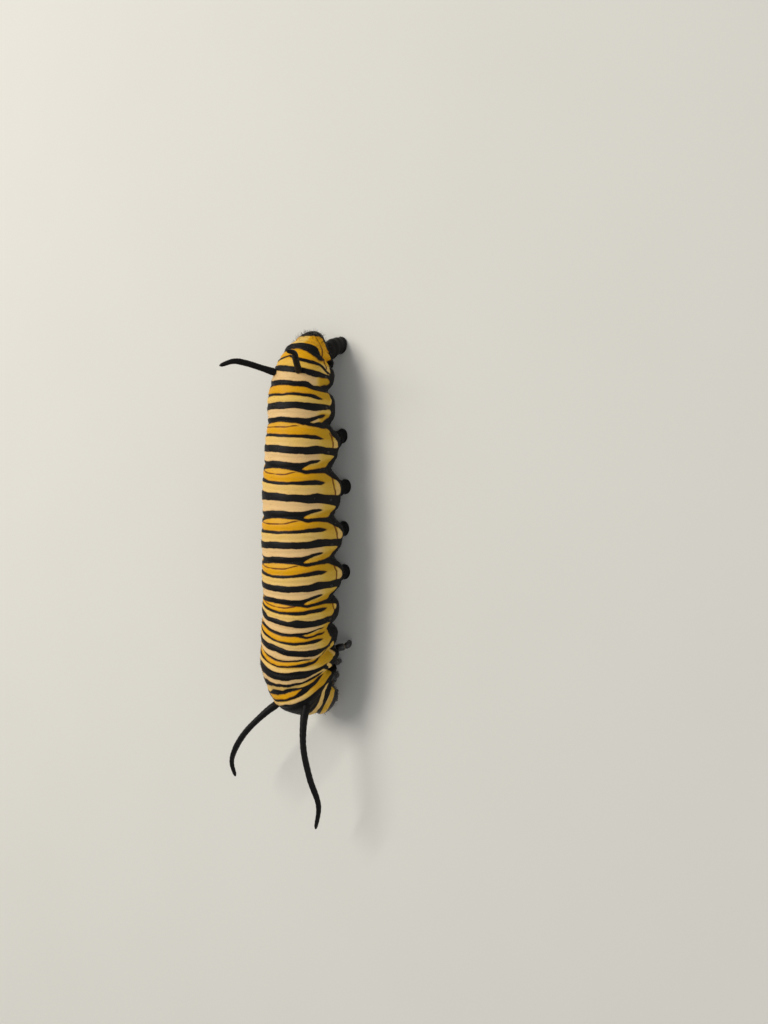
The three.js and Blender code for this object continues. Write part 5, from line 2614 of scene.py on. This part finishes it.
@dataclass(frozen=True)
class Studio:
    """A plain pale floor, soft lights and the camera at the photograph's angle."""

    turn: float = 57
    distance: float = 100
    aim: Triple = (1.8276, 5.996, 4.0)
    aim_right: float = 7.56
    lens: float = 39.06
    floor_size: float = 2000
    floor_colour: Colour = linear(222, 219, 210)
    floor_shade: Colour = linear(206, 202, 192)
    lights: tuple[SoftLight, ...] = (
        SoftLight("key", (-140, 110, 260), 150, 0.78, (1.0, 0.975, 0.93)),
        SoftLight("fill", (240, -60, 160), 220, 0.14, (0.94, 0.97, 1.0)),
    )
    world: Colour = (0.92, 0.95, 1.0)
    world_strength: float = 0.3

    def camera(self) -> None:
        """Makes the camera."""
        a = math.radians(self.turn)
        right = Vector((math.sin(a), 0, -math.cos(a)))
        toward = Vector((math.cos(a), 0, math.sin(a)))
        aim = Vector(self.aim) + right * self.aim_right
        data = bpy.data.cameras.new("camera")
        data.sensor_fit = "AUTO"
        data.sensor_width = 36
        data.lens = self.lens
        data.clip_start = 0.005
        data.clip_end = 10
        made = linked("camera", data)
        axes = Matrix((right, Vector((0, 1, 0)), toward)).transposed()
        made.matrix_world = Matrix.Translation((aim + toward * self.distance) * MM) @ axes.to_4x4()
        bpy.context.scene.camera = made

    def floor(self) -> None:
        """Makes the floor."""
        made = bmesh.new()
        bmesh.ops.create_grid(made, x_segments=1, y_segments=1, size=self.floor_size / 2 * MM)
        data = bpy.data.meshes.new("floor")
        made.to_mesh(data)
        made.free()
        s = Shader("floor")
        colour = s.mix(s.noise(14, 2) * 0.2, self.floor_colour, self.floor_shade)
        data.materials.append(s.finish(Base_Color=colour, Roughness=0.9))
        linked("floor", data)

    def light(self, lamp: SoftLight) -> None:
        """Makes one light that points at the larva.

        Args:
            lamp: Its sizes.
        """
        data = bpy.data.lights.new(lamp.name, "AREA")
        data.size = lamp.size * MM
        data.energy = lamp.power
        data.color = lamp.colour
        spot = Vector(lamp.at) * MM
        turn = spot.to_track_quat("Z", "Y").to_matrix().to_4x4()
        linked(lamp.name, data).matrix_world = Matrix.Translation(spot) @ turn

    def build(self) -> None:
        """Makes the whole studio."""
        self.camera()
        self.floor()
        for lamp in self.lights:
            self.light(lamp)
        world = bpy.data.worlds.new("studio")
        world.use_nodes = True
        background = world.node_tree.nodes["Background"]
        background.inputs["Color"].default_value = (*self.world, 1.0)
        background.inputs["Strength"].default_value = self.world_strength
        bpy.context.scene.world = world
        bpy.context.scene.view_settings.view_transform = "Standard"


def frame_offset(legs: SoftLegs) -> Vector:
    """The own frame's origin in the shared frame, found from the soles of two prolegs.

    Args:
        legs: The prolegs.

    Returns:
        The offset in metres.
    """
    number = 4
    points = np.array([
        vertex.co[:]
        for side in Side
        for vertex in frame["nodes"][f"proleg_{number}_{side.word}"].data.vertices
        if vertex.co.z < 0.01 * MM
    ])
    centre = (points.min(axis=0) + points.max(axis=0)) / 2
    own = (legs.sole(number, Side.LEFT) + legs.sole(number, Side.RIGHT)) / 2 * MM
    return Vector((centre[0] - own[0], centre[1] - own[1], 0.0))


def main() -> None:
    """Builds the larva and the studio round it."""
    logging.basicConfig(level=logging.INFO, format="%(name)s: %(message)s")
    body = Body()
    markings = Markings(body)
    soft_legs = SoftLegs(body)
    filaments = Filaments(body)
    head = Head()
    jointed_legs = JointedLegs(body)
    offset = frame_offset(soft_legs)
    LOG.info("own frame at %s", [round(part / MM, 4) for part in offset])
    Studio().build()
    limbs = {**soft_legs.build(), **filaments.build()}
    pieces = [Skin(body, markings).build(limbs)]
    pieces += head.build()
    pieces += jointed_legs.build()
    pieces += [soft_legs.crochets(), Spiracles(body).build()]
    coat = Coat(body, markings, head, jointed_legs)
    trunk = BVHTree.FromBMesh(body.build()[0])
    pieces += [hairs.piece() for hairs in (coat.on_body(), coat.on_limbs(limbs, trunk), coat.on_head())]
    for piece in pieces:
        piece.place(offset)


if __name__ == "__main__":
    main()
